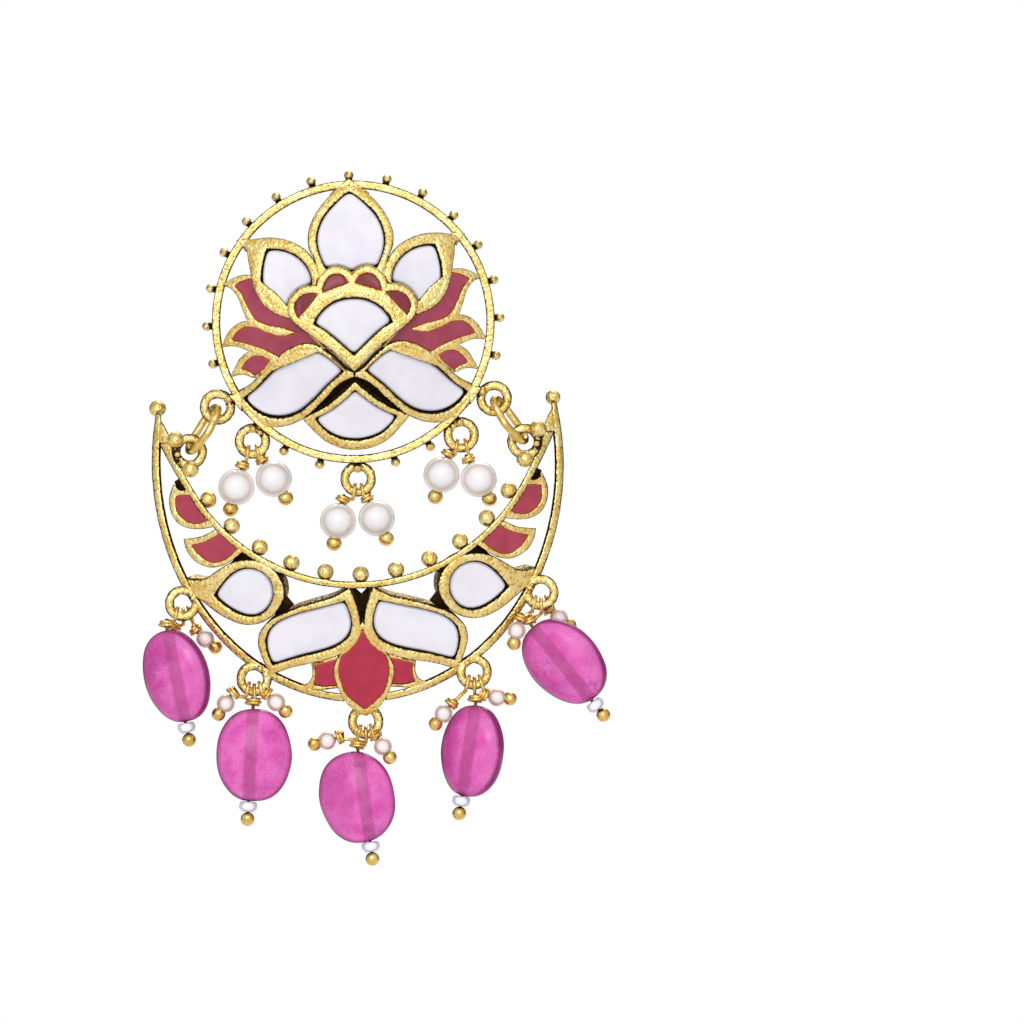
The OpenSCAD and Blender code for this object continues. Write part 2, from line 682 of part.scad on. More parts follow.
// A loop lies in the middle of the outer band's depth where it meets the band, and the bud's loop
// lies behind the bud's enamel
bud_loop_depth = 1.45;
function crescent_loop_y(place) =
    let (depth = place == bud_loop ? bud_loop_depth : band_depth / 2)
    dome_point(place - unit(place - [0, crescent_z]) * loop_r, crescent, crescent_dome_r - depth).y;

module crescent_frame() {
    ball_arc_r = inner_band_r - inner_band_w / 2 - ball_r + 0.15;
    color(gold)
        union() {
            difference() {
                union() {
                    dome_walls(crescent, crescent_back_r, crescent_dome_r)
                        crescent_outlines();
                    dome_walls(crescent, crescent_back_r, crescent_back_r + back_plate_t)
                        middle_shape(WING_BACK, crescent, crescent_dome_r);
                    straight_walls(crescent, crescent_dome_r - band_depth, crescent_dome_r) {
                        polygon(outer_band);
                        polygon(inner_band);
                        for (side = [-1, 1])
                            polygon(on_side(outline(HORN), side));
                    }
                    dome_walls(crescent, cell_back_r, crescent_dome_r) {
                        both_shapes(DROP_CELL, crescent, crescent_dome_r);
                        both_shapes(WING_CELL, crescent, crescent_dome_r);
                    }
                }
                dome_walls(crescent, cell_back_r + stone_floor, crescent_dome_r + 1) {
                    both_shapes(DROP_OPENING, crescent, crescent_dome_r);
                    both_shapes(WING_OPENING, crescent, crescent_dome_r);
                }
                dome_walls(crescent, crescent_dome_r - enamel_depth, crescent_dome_r + 1) {
                    both_shapes(FIRST_TIP_ENAMEL, crescent, crescent_dome_r);
                    both_shapes(SECOND_TIP_ENAMEL, crescent, crescent_dome_r);
                    middle_shape(BUD_ENAMEL, crescent, crescent_dome_r);
                    both_shapes(BUD_SIDE_ENAMEL, crescent, crescent_dome_r);
                }
            }
            for (k = [-crescent_side_balls:crescent_side_balls]) {
                angle = k * crescent_ball_pitch;
                crescent_ball([ball_arc_r * sin(angle), crescent_arc_z - ball_arc_r * cos(angle)]);
            }
            for (side = [-1, 1]) {
                crescent_ball([side * horn_tip.x, horn_tip.y]);
                cast_loop([side * side_loop.x, side_loop.y], hang_y);
                for (place = LOWER_LOOPS)
                    cast_loop([side * place.x, place.y], crescent_loop_y(place));
            }
            cast_loop(bud_loop, crescent_loop_y(bud_loop));
        }
}

// Links

link_sides = 6;
link_end_steps = 6;
upper_side_loop = UPPER_LOOPS[0];
link_dir = unit(side_loop - upper_side_loop);
link_top = upper_side_loop + link_dir * loop_r;
link_bottom = side_loop - link_dir * loop_r;
link_turn = 22;

// Middle line of a link in its own plane: u across, v along
function link_line(length) =
    [for (end = [0, 1], k = [0:link_end_steps])
        let (t = 180 * k / link_end_steps + 180 * end)
        [link_end_r * cos(t), (end == 0 ? length : 0) + link_end_r * sin(t)]];

module wire_link(side) {
    length = norm(link_bottom - link_top);
    line = link_line(length);
    n = len(line);
    points = [
        for (i = [0:n - 1])
            let (ahead = unit(line[(i + 1) % n] - line[(i + n - 1) % n]))
            for (k = [0:link_sides - 1])
                let (a = 360 * k / link_sides, out = [ahead.y, -ahead.x] * cos(a))
                [line[i].x + link_wire_r * out.x, link_wire_r * sin(a), line[i].y + link_wire_r * out.y]
    ];
    faces = [
        for (i = [0:n - 1], k = [0:link_sides - 1])
            let (j = (i + 1) % n, l = (k + 1) % link_sides)
            [i * link_sides + k, j * link_sides + k, j * link_sides + l, i * link_sides + l]
    ];
    slant = atan2(link_dir.x, -link_dir.y);
    color(gold)
        mirror([side > 0 ? 0 : 1, 0, 0])
            translate([link_bottom.x, hang_y, link_bottom.y])
                rotate([0, -slant, 0])
                    rotate([0, 0, 90 - link_turn])
                        polyhedron(points = points, faces = faces);
}

// Pearls and beads

hole_gap = 0.08;
eye_r = 0.88;
eye_play = 0.12;
turns_h = 0.4;
wire_sides = 24;
seat_gap = 0.05;
bore_r = pin_r + hole_gap;
eye_drop = eye_r - pin_r - loop_wire_r - eye_play;

function at_y(p, y) = [p.x, y, p.y];
// The eye of a pin hangs on the lower part of its loop, and leans a little with the loop's wire
function eye_lean(shift) = asin(shift / loop_r) / 2;
function eye_down(shift) = [sin(eye_lean(shift)), 0, -cos(eye_lean(shift))];
function eye_place(loop, y, shift) =
    [loop.x + shift, y, loop.y - sqrt(loop_r * loop_r - shift * shift)] + eye_down(shift) * eye_drop;

// A head pin: an eye round the loop, a neck, turns of wire, a straight shank and a ball end
module head_pin(loop, y, shift, seat, ball, ball_end_r, turns_r) {
    eye = eye_place(loop, y, shift);
    up = unit(seat - ball);
    neck_from = eye + eye_down(shift) * eye_r;
    neck_to = seat + up * turns_h / 2;
    translate(eye)
        rotate([0, 90 - eye_lean(shift), 0])
            wire_ring(eye_r, pin_r, 32, wire_sides);
    along(neck_from, neck_to)
        cylinder(h = norm(neck_to - neck_from), r = pin_r - 0.02, $fn = wire_sides);
    shank = norm(ball - seat) + turns_h;
    along(seat + up * turns_h, ball) {
        cylinder(h = turns_h, r = turns_r, $fn = 32);
        cylinder(h = shank, r = pin_r, $fn = wire_sides);
        translate([0, 0, shank])
            sphere(ball_end_r, $fn = 32);
    }
}

module drilled_ball(place, r, towards) {
    along(place, towards)
        difference() {
            sphere(r, $fn = 48);
            cylinder(h = 4 * r, r = bore_r, center = true, $fn = wire_sides);
        }
}

function drop_place(row, y) = at_y(row[PLACE], y - row[FORWARD]);
function drop_down(row) = let (d = unit(row[TOWARDS] - row[PLACE])) [d.x, 0, d.y];

module drop_pin(row, loop, y, r, ball_end_r) {
    place = drop_place(row, y);
    down = drop_down(row);
    head_pin(loop, y, row[EYE], place - down * (r + seat_gap), place + down * (r + ball_end_r),
        ball_end_r, 0.3 + 0.25 * r);
}

module drop_ball(row, y, r) {
    color(pearl_white)
        drilled_ball(drop_place(row, y), r, drop_place(row, y) + drop_down(row));
}

upper_left_loop = [-UPPER_LOOPS[1].x, UPPER_LOOPS[1].y];
pearl_loops = [upper_left_loop, bottom_loop, UPPER_LOOPS[1]];

module pearl_pins(pair) {
    color(gold)
        for (k = [0, 1])
            drop_pin(PEARLS[2 * pair + k], pearl_loops[pair], hang_y, pearl_r, pearl_ball_r);
}

bead_loops = [
    [-LOWER_LOOPS[1].x, LOWER_LOOPS[1].y], [-LOWER_LOOPS[0].x, LOWER_LOOPS[0].y], bud_loop,
    LOWER_LOOPS[0], LOWER_LOOPS[1]
];
function bead_y(k) = crescent_loop_y(bead_loops[k]);
function bead_point(k, column) = at_y(BEADS[k][column], bead_y(k));
function pin_down(k) = unit(bead_point(k, PIN_BALL) - bead_point(k, SEAT));

module seed_pearls(k) {
    for (row = SEED_PAIRS[k])
        drop_ball(row, bead_y(k), seed_pearl_r);
}

module seed_pins(k) {
    color(gold)
        for (row = SEED_PAIRS[k])
            drop_pin(row, bead_loops[k], bead_y(k), seed_pearl_r, small_ball_r);
}

module bead_pin(k) {
    color(gold)
        head_pin(bead_loops[k], bead_y(k), BEADS[k][BEAD_EYE], bead_point(k, SEAT),
            bead_point(k, PIN_BALL), small_ball_r, 0.65);
}

white_bead_r = 1.1;
white_bead_half = 0.45;

module white_bead(k) {
    color(pearl_white)
        along(bead_point(k, PIN_BALL) - pin_down(k) * (small_ball_r + white_bead_half + seat_gap),
            bead_point(k, PIN_BALL))
            rotate_extrude($fn = 32)
                translate([bore_r, 0])
                    intersection() {
                        translate([0, -white_bead_half])
                            square([white_bead_r, 2 * white_bead_half]);
                        translate([white_bead_r - bore_r - 0.75, 0])
                            circle(0.75, $fn = 24);
                    }
}

// A flattened oval bead, drilled along its pin
bead_sides = 12;
bead_rings = 7;
bead_flat = 12;

module pink_bead(k) {
    top = bead_point(k, BEAD_TOP);
    end = bead_point(k, BEAD_END);
    seat = bead_point(k, SEAT);
    half = norm(end - top) / 2;
    points = [
        for (i = [0:bead_rings], s = [0:bead_sides - 1])
            let (tilt = (90 - bead_flat) * (2 * i / bead_rings - 1), a = 360 * s / bead_sides)
            [
                bead_w / 2 * cos(tilt) * cos(a),
                bead_t / 2 * cos(tilt) * sin(a),
                half * sin(tilt) / cos(bead_flat)
            ]
    ];
    walls = [
        for (i = [0:bead_rings - 1], s = [0:bead_sides - 1])
            let (t = (s + 1) % bead_sides, low = i * bead_sides, high = low + bead_sides)
            [low + s, high + s, high + t, low + t]
    ];
    flat_top = [for (s = [0:bead_sides - 1]) s];
    flat_end = [for (s = [bead_sides - 1:-1:0]) bead_rings * bead_sides + s];
    color(bead_pink)
        difference() {
            along((top + end) / 2, end)
                rotate([0, 0, BEADS[k][TURN]])
                    polyhedron(points = points, faces = concat([flat_top, flat_end], walls));
            along(seat - pin_down(k), seat)
                cylinder(h = 2 * half + 3, r = bore_r + 0.03, $fn = 8);
        }
}

// Ear fitting

notch_y = 13.3;
notch_len = 0.7;
notch_depth = 0.1;
nut_front = 5.5;
nut_len = 5.5;
nut_bore_gap = 0.05;

module ear_post() {
    color(gold) {
        translate([0, pad_y + fit_gap, 0])
            rotate([-90, 0, 0]) {
                cylinder(h = pad_t, r = pad_r, $fn = 48);
                cylinder(h = notch_y - pad_y - fit_gap, r = post_r, $fn = wire_sides);
            }
        translate([0, notch_y - epsilon, 0])
            rotate([-90, 0, 0])
                cylinder(h = notch_len + 2 * epsilon, r = post_r - notch_depth, $fn = wire_sides);
        translate([0, notch_y + notch_len, 0])
            rotate([-90, 0, 0])
                cylinder(h = post_reach - post_r - notch_y - notch_len, r = post_r, $fn = wire_sides);
        translate([0, post_reach - post_r, 0])
            sphere(post_r, $fn = wire_sides);
    }
}

// Half section of the nut: distance from the post, and place along it
NUT_SECTION = [
    [0, 0], [0.95, 0], [1.4, 0.25], [1.4, 2.6], [1.62, 2.75], [1.62, 3.05], [1.4, 3.2], [1.4, 3.45],
    [1.75, 3.65], [1.75, 4], [1.6, 4.6], [1.2, 5.1], [0.75, 5.4], [0, 5.5]
];

module ear_nut() {
    color(gold)
        translate([0, nut_front, 0])
            rotate([-90, 0, 0])
                difference() {
                    rotate_extrude($fn = 48)
                        polygon([for (p = NUT_SECTION) [p.x * nut_r / 1.75, p.y * nut_len / 5.5]]);
                    translate([0, 0, -1])
                        cylinder(h = nut_len + 2, r = post_r + nut_bore_gap, $fn = 48);
                }
}

upper_frame();
ear_post();
ear_nut();
stone_top();
stone_side(-1);  // stone_side_left
stone_side(1);  // stone_side_right
stone_fan();
stone_leaf(-1);  // stone_leaf_left
stone_leaf(1);  // stone_leaf_right
stone_base();
enamel_scallops();
enamel_arms(-1);  // enamel_arms_left
enamel_arms(1);  // enamel_arms_right
for (k = [0:len(PEARLS) - 1])
    drop_ball(PEARLS[k], hang_y, pearl_r);
pearl_pins(0);  // pearl_pins_left
pearl_pins(1);  // pearl_pins_middle
pearl_pins(2);  // pearl_pins_right
wire_link(-1);  // link_left
wire_link(1);  // link_right
crescent_frame();
stone_drop(-1);  // stone_drop_left
stone_drop(1);  // stone_drop_right
stone_wing(-1);  // stone_wing_left
stone_wing(1);  // stone_wing_right
enamel_bud();
enamel_tips(-1);  // enamel_tips_left
enamel_tips(1);  // enamel_tips_right
for (k = [0:len(BEADS) - 1]) {
    pink_bead(k);
    bead_pin(k);
    white_bead(k);
    seed_pearls(k);
    seed_pins(k);
}
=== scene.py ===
# %% [markdown]
# # A lotus and crescent drop earring
# The real earring is cast and soldered from small walled cells of gilt metal, with flat pale
# stones, crimson enamel, pearls and pink beads. Each cell here is drawn from an outline, laid on a
# dome, and given rounded edges that catch the light; the cells are gathered in a few meshes.
# The CAD model is loaded first and stays as it is: it says where everything goes.

# %% Load the frame
import json
import math
import bmesh
import bpy
from mathutils import Matrix, Vector, kdtree, noise
from mathutils.geometry import delaunay_2d_cdt, intersect_point_line

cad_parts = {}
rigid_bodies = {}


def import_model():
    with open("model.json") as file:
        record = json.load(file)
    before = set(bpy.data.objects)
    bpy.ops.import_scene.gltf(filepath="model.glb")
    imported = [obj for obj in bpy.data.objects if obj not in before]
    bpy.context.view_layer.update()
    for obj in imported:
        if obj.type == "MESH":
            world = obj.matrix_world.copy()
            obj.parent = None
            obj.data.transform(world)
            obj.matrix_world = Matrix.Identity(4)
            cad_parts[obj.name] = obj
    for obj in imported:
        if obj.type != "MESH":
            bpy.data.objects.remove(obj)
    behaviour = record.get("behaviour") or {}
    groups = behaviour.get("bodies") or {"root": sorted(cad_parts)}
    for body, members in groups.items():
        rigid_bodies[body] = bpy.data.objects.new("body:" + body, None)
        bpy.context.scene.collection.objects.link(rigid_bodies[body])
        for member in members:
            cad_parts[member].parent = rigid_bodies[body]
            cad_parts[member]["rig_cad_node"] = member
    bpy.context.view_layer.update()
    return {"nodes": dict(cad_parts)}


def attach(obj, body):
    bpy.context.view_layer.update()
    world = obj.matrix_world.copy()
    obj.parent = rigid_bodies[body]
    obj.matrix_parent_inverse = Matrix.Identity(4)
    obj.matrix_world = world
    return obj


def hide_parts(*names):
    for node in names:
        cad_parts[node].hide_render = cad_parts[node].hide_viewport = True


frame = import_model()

MM = 0.001
HANDS = ((-1, "left"), (1, "right"))

# %% [markdown]
# ## Outlines
# A table is a row of knots: how far across, how high, and a star where the line turns a corner.
# Smooth curves run from knot to knot. Only the right half of the ornament is drawn, and the left
# half is its mirror image.


# %% Read a table
def knots(text):
    rows = [row.split() for row in text.split(",")]
    return [(float(x), float(z.strip("*")), "*" in z) for x, z in rows]


# %% Outlines of the lotus
TOP_PETAL = knots("0 11.7*, 1.4 10.7, 3.5 8.6, 4.75 6.3, 4.95 4.2, 4.2 2.2, 3.9 0*, 0 -0.5")
TOP_OPENING = knots("""0 10.35*, 1.4 9.3, 3.1 7.5, 3.9 5.5, 3.9 3.9, 3.4 2.4, 2.95 1.45*,
    1.85 1.85, 0.85 1.6, 0 1*""")
SIDE_PETAL = knots("""13 4.9*, 11.2 5.2, 9 5.3, 7 4.8, 5.1 3.6, 3.9 1.7, 3.7 0.2*, 5.5 -3*,
    7.4 -4.2*, 9 -3.6, 10.5 -2.3, 11.4 -0.4, 11.85 2, 12.1 3.9*, 12.6 4.4*""")
SIDE_OPENING = knots("""9.75 3.95*, 10.3 2.2, 10.5 0.3, 10 -1.4, 8.9 -2.6, 7.65 -2.95*, 7.4 -1.95,
    6.7 -1.05, 5.55 -0.42, 4.6 -0.33*, 4.9 1.3, 6.1 2.9, 7.8 3.8""")
CUP = knots("""0 0.75*, 0.7 1.35, 1.8 1.68, 3 1.25, 3.8 0.4, 4.1 -0.45*, 5.4 -0.55, 6.6 -1.2,
    7.4 -2.3, 7.4 -3.8, 6.1 -5.35*, 4.3 -6.7, 2.2 -8.35, 0 -10.6*""")
FAN_OPENING = knots("""0 -1.95, 1.6 -2.15, 3.1 -2.95, 4.1 -4, 4.6 -4.95*, 3.3 -5.7, 1.6 -7.2,
    0 -8.7*""")
INNER_SCALLOP = knots("""0.4 -0.25*, 0.9 0.45, 1.7 0.78, 2.5 0.6, 3.1 -0.1, 3.42 -1.3*,
    1.9 -0.75""")
OUTER_SCALLOP = knots("3.95 -1.45*, 5.2 -1.4, 6.2 -1.9, 6.7 -2.9, 6.3 -4.1*, 5.2 -2.95")
LEAF = knots("""14.4 -12.75*, 12.2 -11.6, 10 -9.6, 8 -7.9, 6 -7.1, 4.4 -7.25, 2.7 -8.4, 0.9 -10.1,
    0 -10.6*, 0 -11.15*, 1.6 -11.8, 3.6 -13.7, 5.8 -15.6, 8.2 -16.6, 10.6 -16.5, 12.7 -15.2""")
LEAF_OPENING = knots("""12.95 -13.15*, 11.6 -12.15, 9.8 -10.4, 8 -8.9, 6.2 -8, 4.4 -8.05, 2.7 -9.1,
    1.25 -10.5*, 3 -11.9, 4.8 -13.7, 6.6 -15.1, 8.5 -15.65, 10.5 -15.35, 12 -14.35""")
BASE_PETAL = knots("""0 -11.6*, 1.8 -13.2, 3.8 -14.6, 6.3 -15.7*, 5.1 -17.1, 3.6 -18.5, 1.8 -19.35,
    0 -19.55""")
BASE_OPENING = knots("""0 -12.65*, 1.6 -14.05, 3.2 -15.1, 4.75 -15.8*, 3.9 -16.9, 2.5 -17.95,
    0 -18.5""")
ARMS = knots("""11.5 1.05*, 12.7 1.05, 13.9 0.7, 15.2 -0.05*, 14.1 -0.45, 13.3 -1.5, 12.8 -2.9,
    12.3 -4.25*, 13.5 -4.6, 14.5 -5.5, 15.4 -7.25*, 13.8 -7.2, 12.2 -7.8*, 13.2 -8.5, 13.9 -9.7,
    14.5 -10.75*, 13 -10.5, 11.9 -10.9*, 9 -10*, 5 -8.5*, 3.3 -7.75*, 5 -6*, 6.8 -3.5*, 9 -1*""")
# The enamel of the arms runs a little way under the petals and leaves beside it
ARMS_ENAMEL = knots("""11.5 0.65*, 12.6 0.4, 13.65 -0.15*, 12.8 -1.2, 12.15 -2.7, 11.3 -4.1,
    10 -4.8, 8.2 -5.2, 6.5 -5.8*, 8.4 -6.15, 10 -5.7, 11.5 -5.05, 13 -5.15, 14.15 -6.45*,
    12.2 -6.95, 10.4 -7.65, 9.15 -8.35*, 8.6 -8.6*, 7.3 -7.75, 6 -7.35, 4.8 -7.35, 3.5 -7.6*,
    4.7 -6.2, 6.2 -5, 7.4 -3.9*, 9.1 -3.2, 10.25 -2.05, 11.1 -0.6""")
THIRD_ENAMEL = knots("""9.75 -8.85*, 11.4 -8.35, 12.4 -8.85, 13.15 -9.85*, 12.2 -10.15,
    11.5 -10.75*, 10.4 -9.75*""")

# The tips that lie over the rim
TOP_TIP = knots("0 11.75*, 1.45 10.68*, 2.3 9.95*, 1.9 9.6*, 0 10.9*")
SIDE_TIP = knots("13.15 5.05*, 11.6 5.2*, 11.4 4.6*, 12.1 3.6*, 12.6 4.4*")
LEAF_TIP = knots("14.5 -12.8*, 13.2 -12.2*, 12.9 -13.2*, 13.1 -14.7*")

# %% Outlines of the crescent
HORN = knots("""22.6 -15.3*, 23 -16.5, 23 -17.95*, 22.2 -18.1*, 21.1 -18.15*, 21.6 -17.1,
    22.1 -16""")
DROP_CELL = knots("""20.2 -33.6*, 18.3 -33.85, 16.8 -33, 15.3 -32.15, 13.6 -31.75, 11.6 -31.95,
    10 -33, 9 -34.6, 9 -36.4, 10.1 -38.1, 12 -39.15, 14.2 -39.1, 16.4 -38, 18.2 -36.6,
    19.5 -35.6*""")
DROP_OPENING = knots("""17.05 -35.75*, 15.8 -34.1, 14.5 -33, 13.1 -32.65, 11.6 -33.05, 10.5 -34.1,
    10.15 -35.5, 10.5 -36.9, 11.5 -37.95, 13 -38.3, 15 -37.5""")
WING_CELL = knots("""1.35 -35.2*, 3.2 -36.25, 6 -37, 8.4 -37.75, 10.6 -38.75, 11.9 -40.2,
    12.05 -42, 10.8 -45.15*, 8.4 -44.35, 5.2 -43.75, 2.6 -42.95, 1 -41.75, 0.25 -40.2,
    0.4 -37.8""")
WING_OPENING = knots("""1.95 -36.8*, 4.5 -37.4, 7.5 -38.1, 9.7 -38.95, 10.95 -40.2, 11.15 -41.9,
    10.5 -43.95*, 8 -43.25, 5 -42.6, 2.9 -41.9, 1.6 -40.8, 1.2 -39.2""")
FIRST_TIP = knots("""19.5 -23.2*, 20.4 -23.5, 21.2 -22.75*, 21.75 -24.2, 21.7 -25.8, 20.9 -27.2,
    19.4 -27.95, 17 -27.9*, 16.6 -27*""")
FIRST_TIP_ENAMEL = knots("""21 -24.15*, 19.45 -24.1, 18.5 -24.95, 17.45 -27*, 18.9 -27.4,
    20.1 -26.9, 20.95 -25.8""")
SECOND_TIP = knots("""16.6 -28.1*, 18.1 -28.8, 20.25 -29.1*, 20 -30.3, 19.1 -31.6, 17.4 -32.45,
    15.6 -32.2, 13.45 -30.75*, 14.6 -29.3*""")
SECOND_TIP_ENAMEL = knots("""15.85 -28.45*, 17.6 -29.4, 19.4 -29.85*, 18.5 -31, 17.2 -31.85,
    15.6 -31.6, 14 -30.25*""")
BUD = knots("0 -39.2*, 2.6 -42.8*, 3.45 -44.4, 3.3 -46.1, 2.5 -48, 1.3 -49.5, 0 -50.15*")
BUD_ENAMEL = knots("""0 -40*, 0.4 -41.05, 1.15 -42.1, 2.55 -43.1*, 2.9 -44.6, 2.7 -46.1, 2 -47.7,
    0 -49.4*""")
BUD_SIDE = knots("""2.9 -43*, 6 -43.9*, 5.95 -45.2, 6.4 -46, 7.3 -46.3*, 6.6 -46.95*, 5 -46.95,
    2.9 -46.75*""")
BUD_SIDE_ENAMEL = knots("""3 -43.45*, 5.65 -44.1*, 5.55 -45.1, 5.85 -46.3*, 4.5 -46.55,
    3.15 -46.5*, 3.3 -44.8""")

# Dark plates that close a slot from behind, and dark webs between cells and at the loops: painted
# shade where the openings show only shadow
SLOT_SHADE_BACK = knots("""0 -10.8*, 1.8 -11.4*, 4 -13.3*, 6.4 -15.4*, 6 -16.2*, 3.8 -15.2*, 1.6 -13.9*,
    0 -12.5*""")
WING_SHADE_BACK = knots("0 -36.35*, 0.9 -35.5*, 1.5 -35.6*, 1.3 -37*, 0.9 -41.3*, 0 -41.7*")
DROP_SHADE_WEB = knots("""9 -33.4*, 11.5 -31.9*, 13.8 -30.7*, 15.6 -32.3*, 13.6 -32.1*, 11.6 -32.3*,
    10.1 -33.4*, 9.2 -34.4*""")
WING_SHADE_WEB = knots("8 -37.3*, 8.9 -36.2*, 9.5 -36.6*, 10.4 -38.5*, 9 -38.1*")
TIP_SHADE_WEB = knots("20.55 -22.1*, 21.15 -22.45*, 20.9 -23.3*, 20.3 -24*, 19.3 -23.9*, 19.6 -23*")
LOOP_SHADE_WEB = knots("21.5 -18*, 20.75 -18.1*, 20.75 -19.6*, 19.95 -20.4*, 20.5 -21.2*, 21 -20.1*")

# %% Smooth curve through the knots
CURVE_STEP = 0.28


def heading(rows, i):
    """Direction of the curve at knot i."""
    a, b = rows[i - 1], rows[(i + 1) % len(rows)]
    return (Vector(b[:2]) - Vector(a[:2])).normalized()


def stretch(rows, i):
    """Points from knot i up to the next one, with a free direction at a corner."""
    here, there = rows[i], rows[(i + 1) % len(rows)]
    p, q = Vector(here[:2]), Vector(there[:2])
    chord = q - p
    end_dir = chord if there[2] else heading(rows, (i + 1) % len(rows)) * chord.length
    start_dir = 1.5 * chord - 0.5 * end_dir if here[2] else heading(rows, i) * chord.length
    last_dir = 1.5 * chord - 0.5 * start_dir if there[2] else end_dir
    n = max(1, round(chord.length / CURVE_STEP))
    for k in range(n):
        t = k / n
        s = 1 - t
        yield (p * (s * s * (1 + 2 * t)) + q * (t * t * (3 - 2 * t))
               + start_dir * (t * s * s) - last_dir * (t * t * s))


# %% Outlines with the small unevenness of hand work
WOBBLE, WOBBLES_PER_MM = 0.03, 0.9


def signed_area(points):
    n = len(points)
    return sum(points[i].cross(points[(i + 1) % n]) for i in range(n)) / 2


def anticlockwise(points):
    return points if signed_area(points) > 0 else points[::-1]


def hand_drawn(points):
    moved = []
    for p in points:
        at = Vector((p.x, p.y, 0)) * WOBBLES_PER_MM
        moved.append(p + WOBBLE * Vector((noise.noise(at), noise.noise(at + Vector((9, 4, 2))))))
    return anticlockwise(moved)


def on_side(points, side):
    return points if side > 0 else anticlockwise([Vector((-p.x, p.y)) for p in points])


def drawn(rows, side=0):
    """The outline of a table, on one side, or for side 0 in the middle with its mirror image."""
    if side == 0:
        rows = rows + [(-x, z, corner) for x, z, corner in rows[::-1] if x > 0.01]
    points = hand_drawn([p for i in range(len(rows)) for p in stretch(rows, i)])
    return on_side(points, side) if side else points


# %% Move an outline inwards
MITRE_LIMIT, TOO_NEAR, CORNER_REACH = 0.35, 0.96, 3


def tree_of(points):
    """Finds the point that is nearest to a place."""
    tree = kdtree.KDTree(len(points))
    for i, p in enumerate(points):
        tree.insert((p.x, p.y, 0), i)
    tree.balance()
    return tree


def outline_distance(points, tree, p):
    """How far p is from the outline, found beside the outline's nearest point."""
    i, n = tree.find((p.x, p.y, 0))[1], len(points)
    reach = []
    for a, b in ((points[i - 1], points[i]), (points[i], points[(i + 1) % n])):
        near, part = intersect_point_line(p, a, b)
        reach.append((p - (a if part < 0 else b if part > 1 else near.to_2d())).length)
    return min(reach)


def inset(points, d):
    """The outline moved inwards by d, or outwards where d is less than nothing.

    In a corner the moved points would cross each other. Those that come too near the outline are
    gathered in one point, where the two sides meet.
    """
    n = len(points)
    moved = []
    for i, p in enumerate(points):
        u = (p - points[i - 1]).normalized()
        v = (points[(i + 1) % n] - p).normalized()
        across = Vector((-u.y - v.y, u.x + v.x))
        moved.append(p + across * d / max(MITRE_LIMIT, 1 + u.dot(v)))
    tree = tree_of(points)
    good = [outline_distance(points, tree, p) > TOO_NEAR * abs(d) for p in moved]
    if all(good) or not any(good):
        return moved
    start = good.index(True)
    k = 0
    while k < n:
        i = (start + k) % n
        if good[i]:
            k += 1
            continue
        length = 1
        while not good[(i + length) % n]:
            length += 1
        a, b = moved[i - 1], moved[(i + length) % n]
        before, after = a - moved[i - 2], b - moved[(i + length + 1) % n]
        meet = (a + b) / 2
        turn = before.cross(after)
        if abs(turn) > 1e-9:
            corner = a + before * (b - a).cross(after) / turn
            if (corner - meet).length < CORNER_REACH * abs(d):
                meet = corner
        for j in range(length):
            moved[(i + j) % n] = meet.copy()
        k += length
    return moved


print("points round the top petal:", len(drawn(TOP_PETAL)))

# %% [markdown]
# ## Domes
# The lotus and the crescent are slightly domed to the front, as pressed or cast metal often is. A
# point of the drawing is laid on a sphere along the ray from the sphere's middle, so walls stand
# square to the dome. The crescent's bands are bent from thin strip: their walls run straight back.

# %% Two domes
rim_z = -4.75
rim_r, rim_w, rim_depth = 16.25, 0.95, 1.9
hang_y = -rim_depth / 2
lotus_r, lotus_wall, cup_rise = 29.0, 2.6, 1.2
lotus_middle = Vector((0, math.sqrt(lotus_r**2 - (rim_r - rim_w / 2)**2) - rim_depth, rim_z))
crescent_r, crescent_wall, cell_wall, band_depth = 45.0, 2.2, 3.0, 1.2
crescent_z, crescent_setback = -27.0, 0.37
side_loop = Vector((19.3, -19.1))
loop_depth = math.sqrt((crescent_r - band_depth / 2)**2 - side_loop.x**2
                       - (side_loop.y - crescent_z)**2)
crescent_middle = Vector((0, hang_y + loop_depth + crescent_setback, crescent_z))


def ray(p, middle, r):
    """Direction from a dome's middle to the point of radius r that is seen at p."""
    x, z = p.x, p.y - middle.z
    return Vector((x, -math.sqrt(r * r - x * x - z * z), z)) / r


class Dome:
    """A sphere that a drawing is laid on: draw_r is the radius where the drawing is true."""

    def __init__(self, middle, draw_r):
        self.middle, self.draw_r = middle, draw_r

    def at(self, p, r):
        return self.middle + ray(p, self.middle, self.draw_r) * r


class StraightDome(Dome):
    """The same, but walls run straight back."""

    def at(self, p, r):
        return self.middle + ray(p, self.middle, r) * r


lotus = Dome(lotus_middle, lotus_r)
cup = Dome(lotus_middle, lotus_r + cup_rise)
crescent = Dome(crescent_middle, crescent_r)
straight_crescent = StraightDome(crescent_middle, crescent_r)
print("front of the lotus at", round(lotus.at(Vector((0, rim_z)), lotus_r).y, 2), "mm")
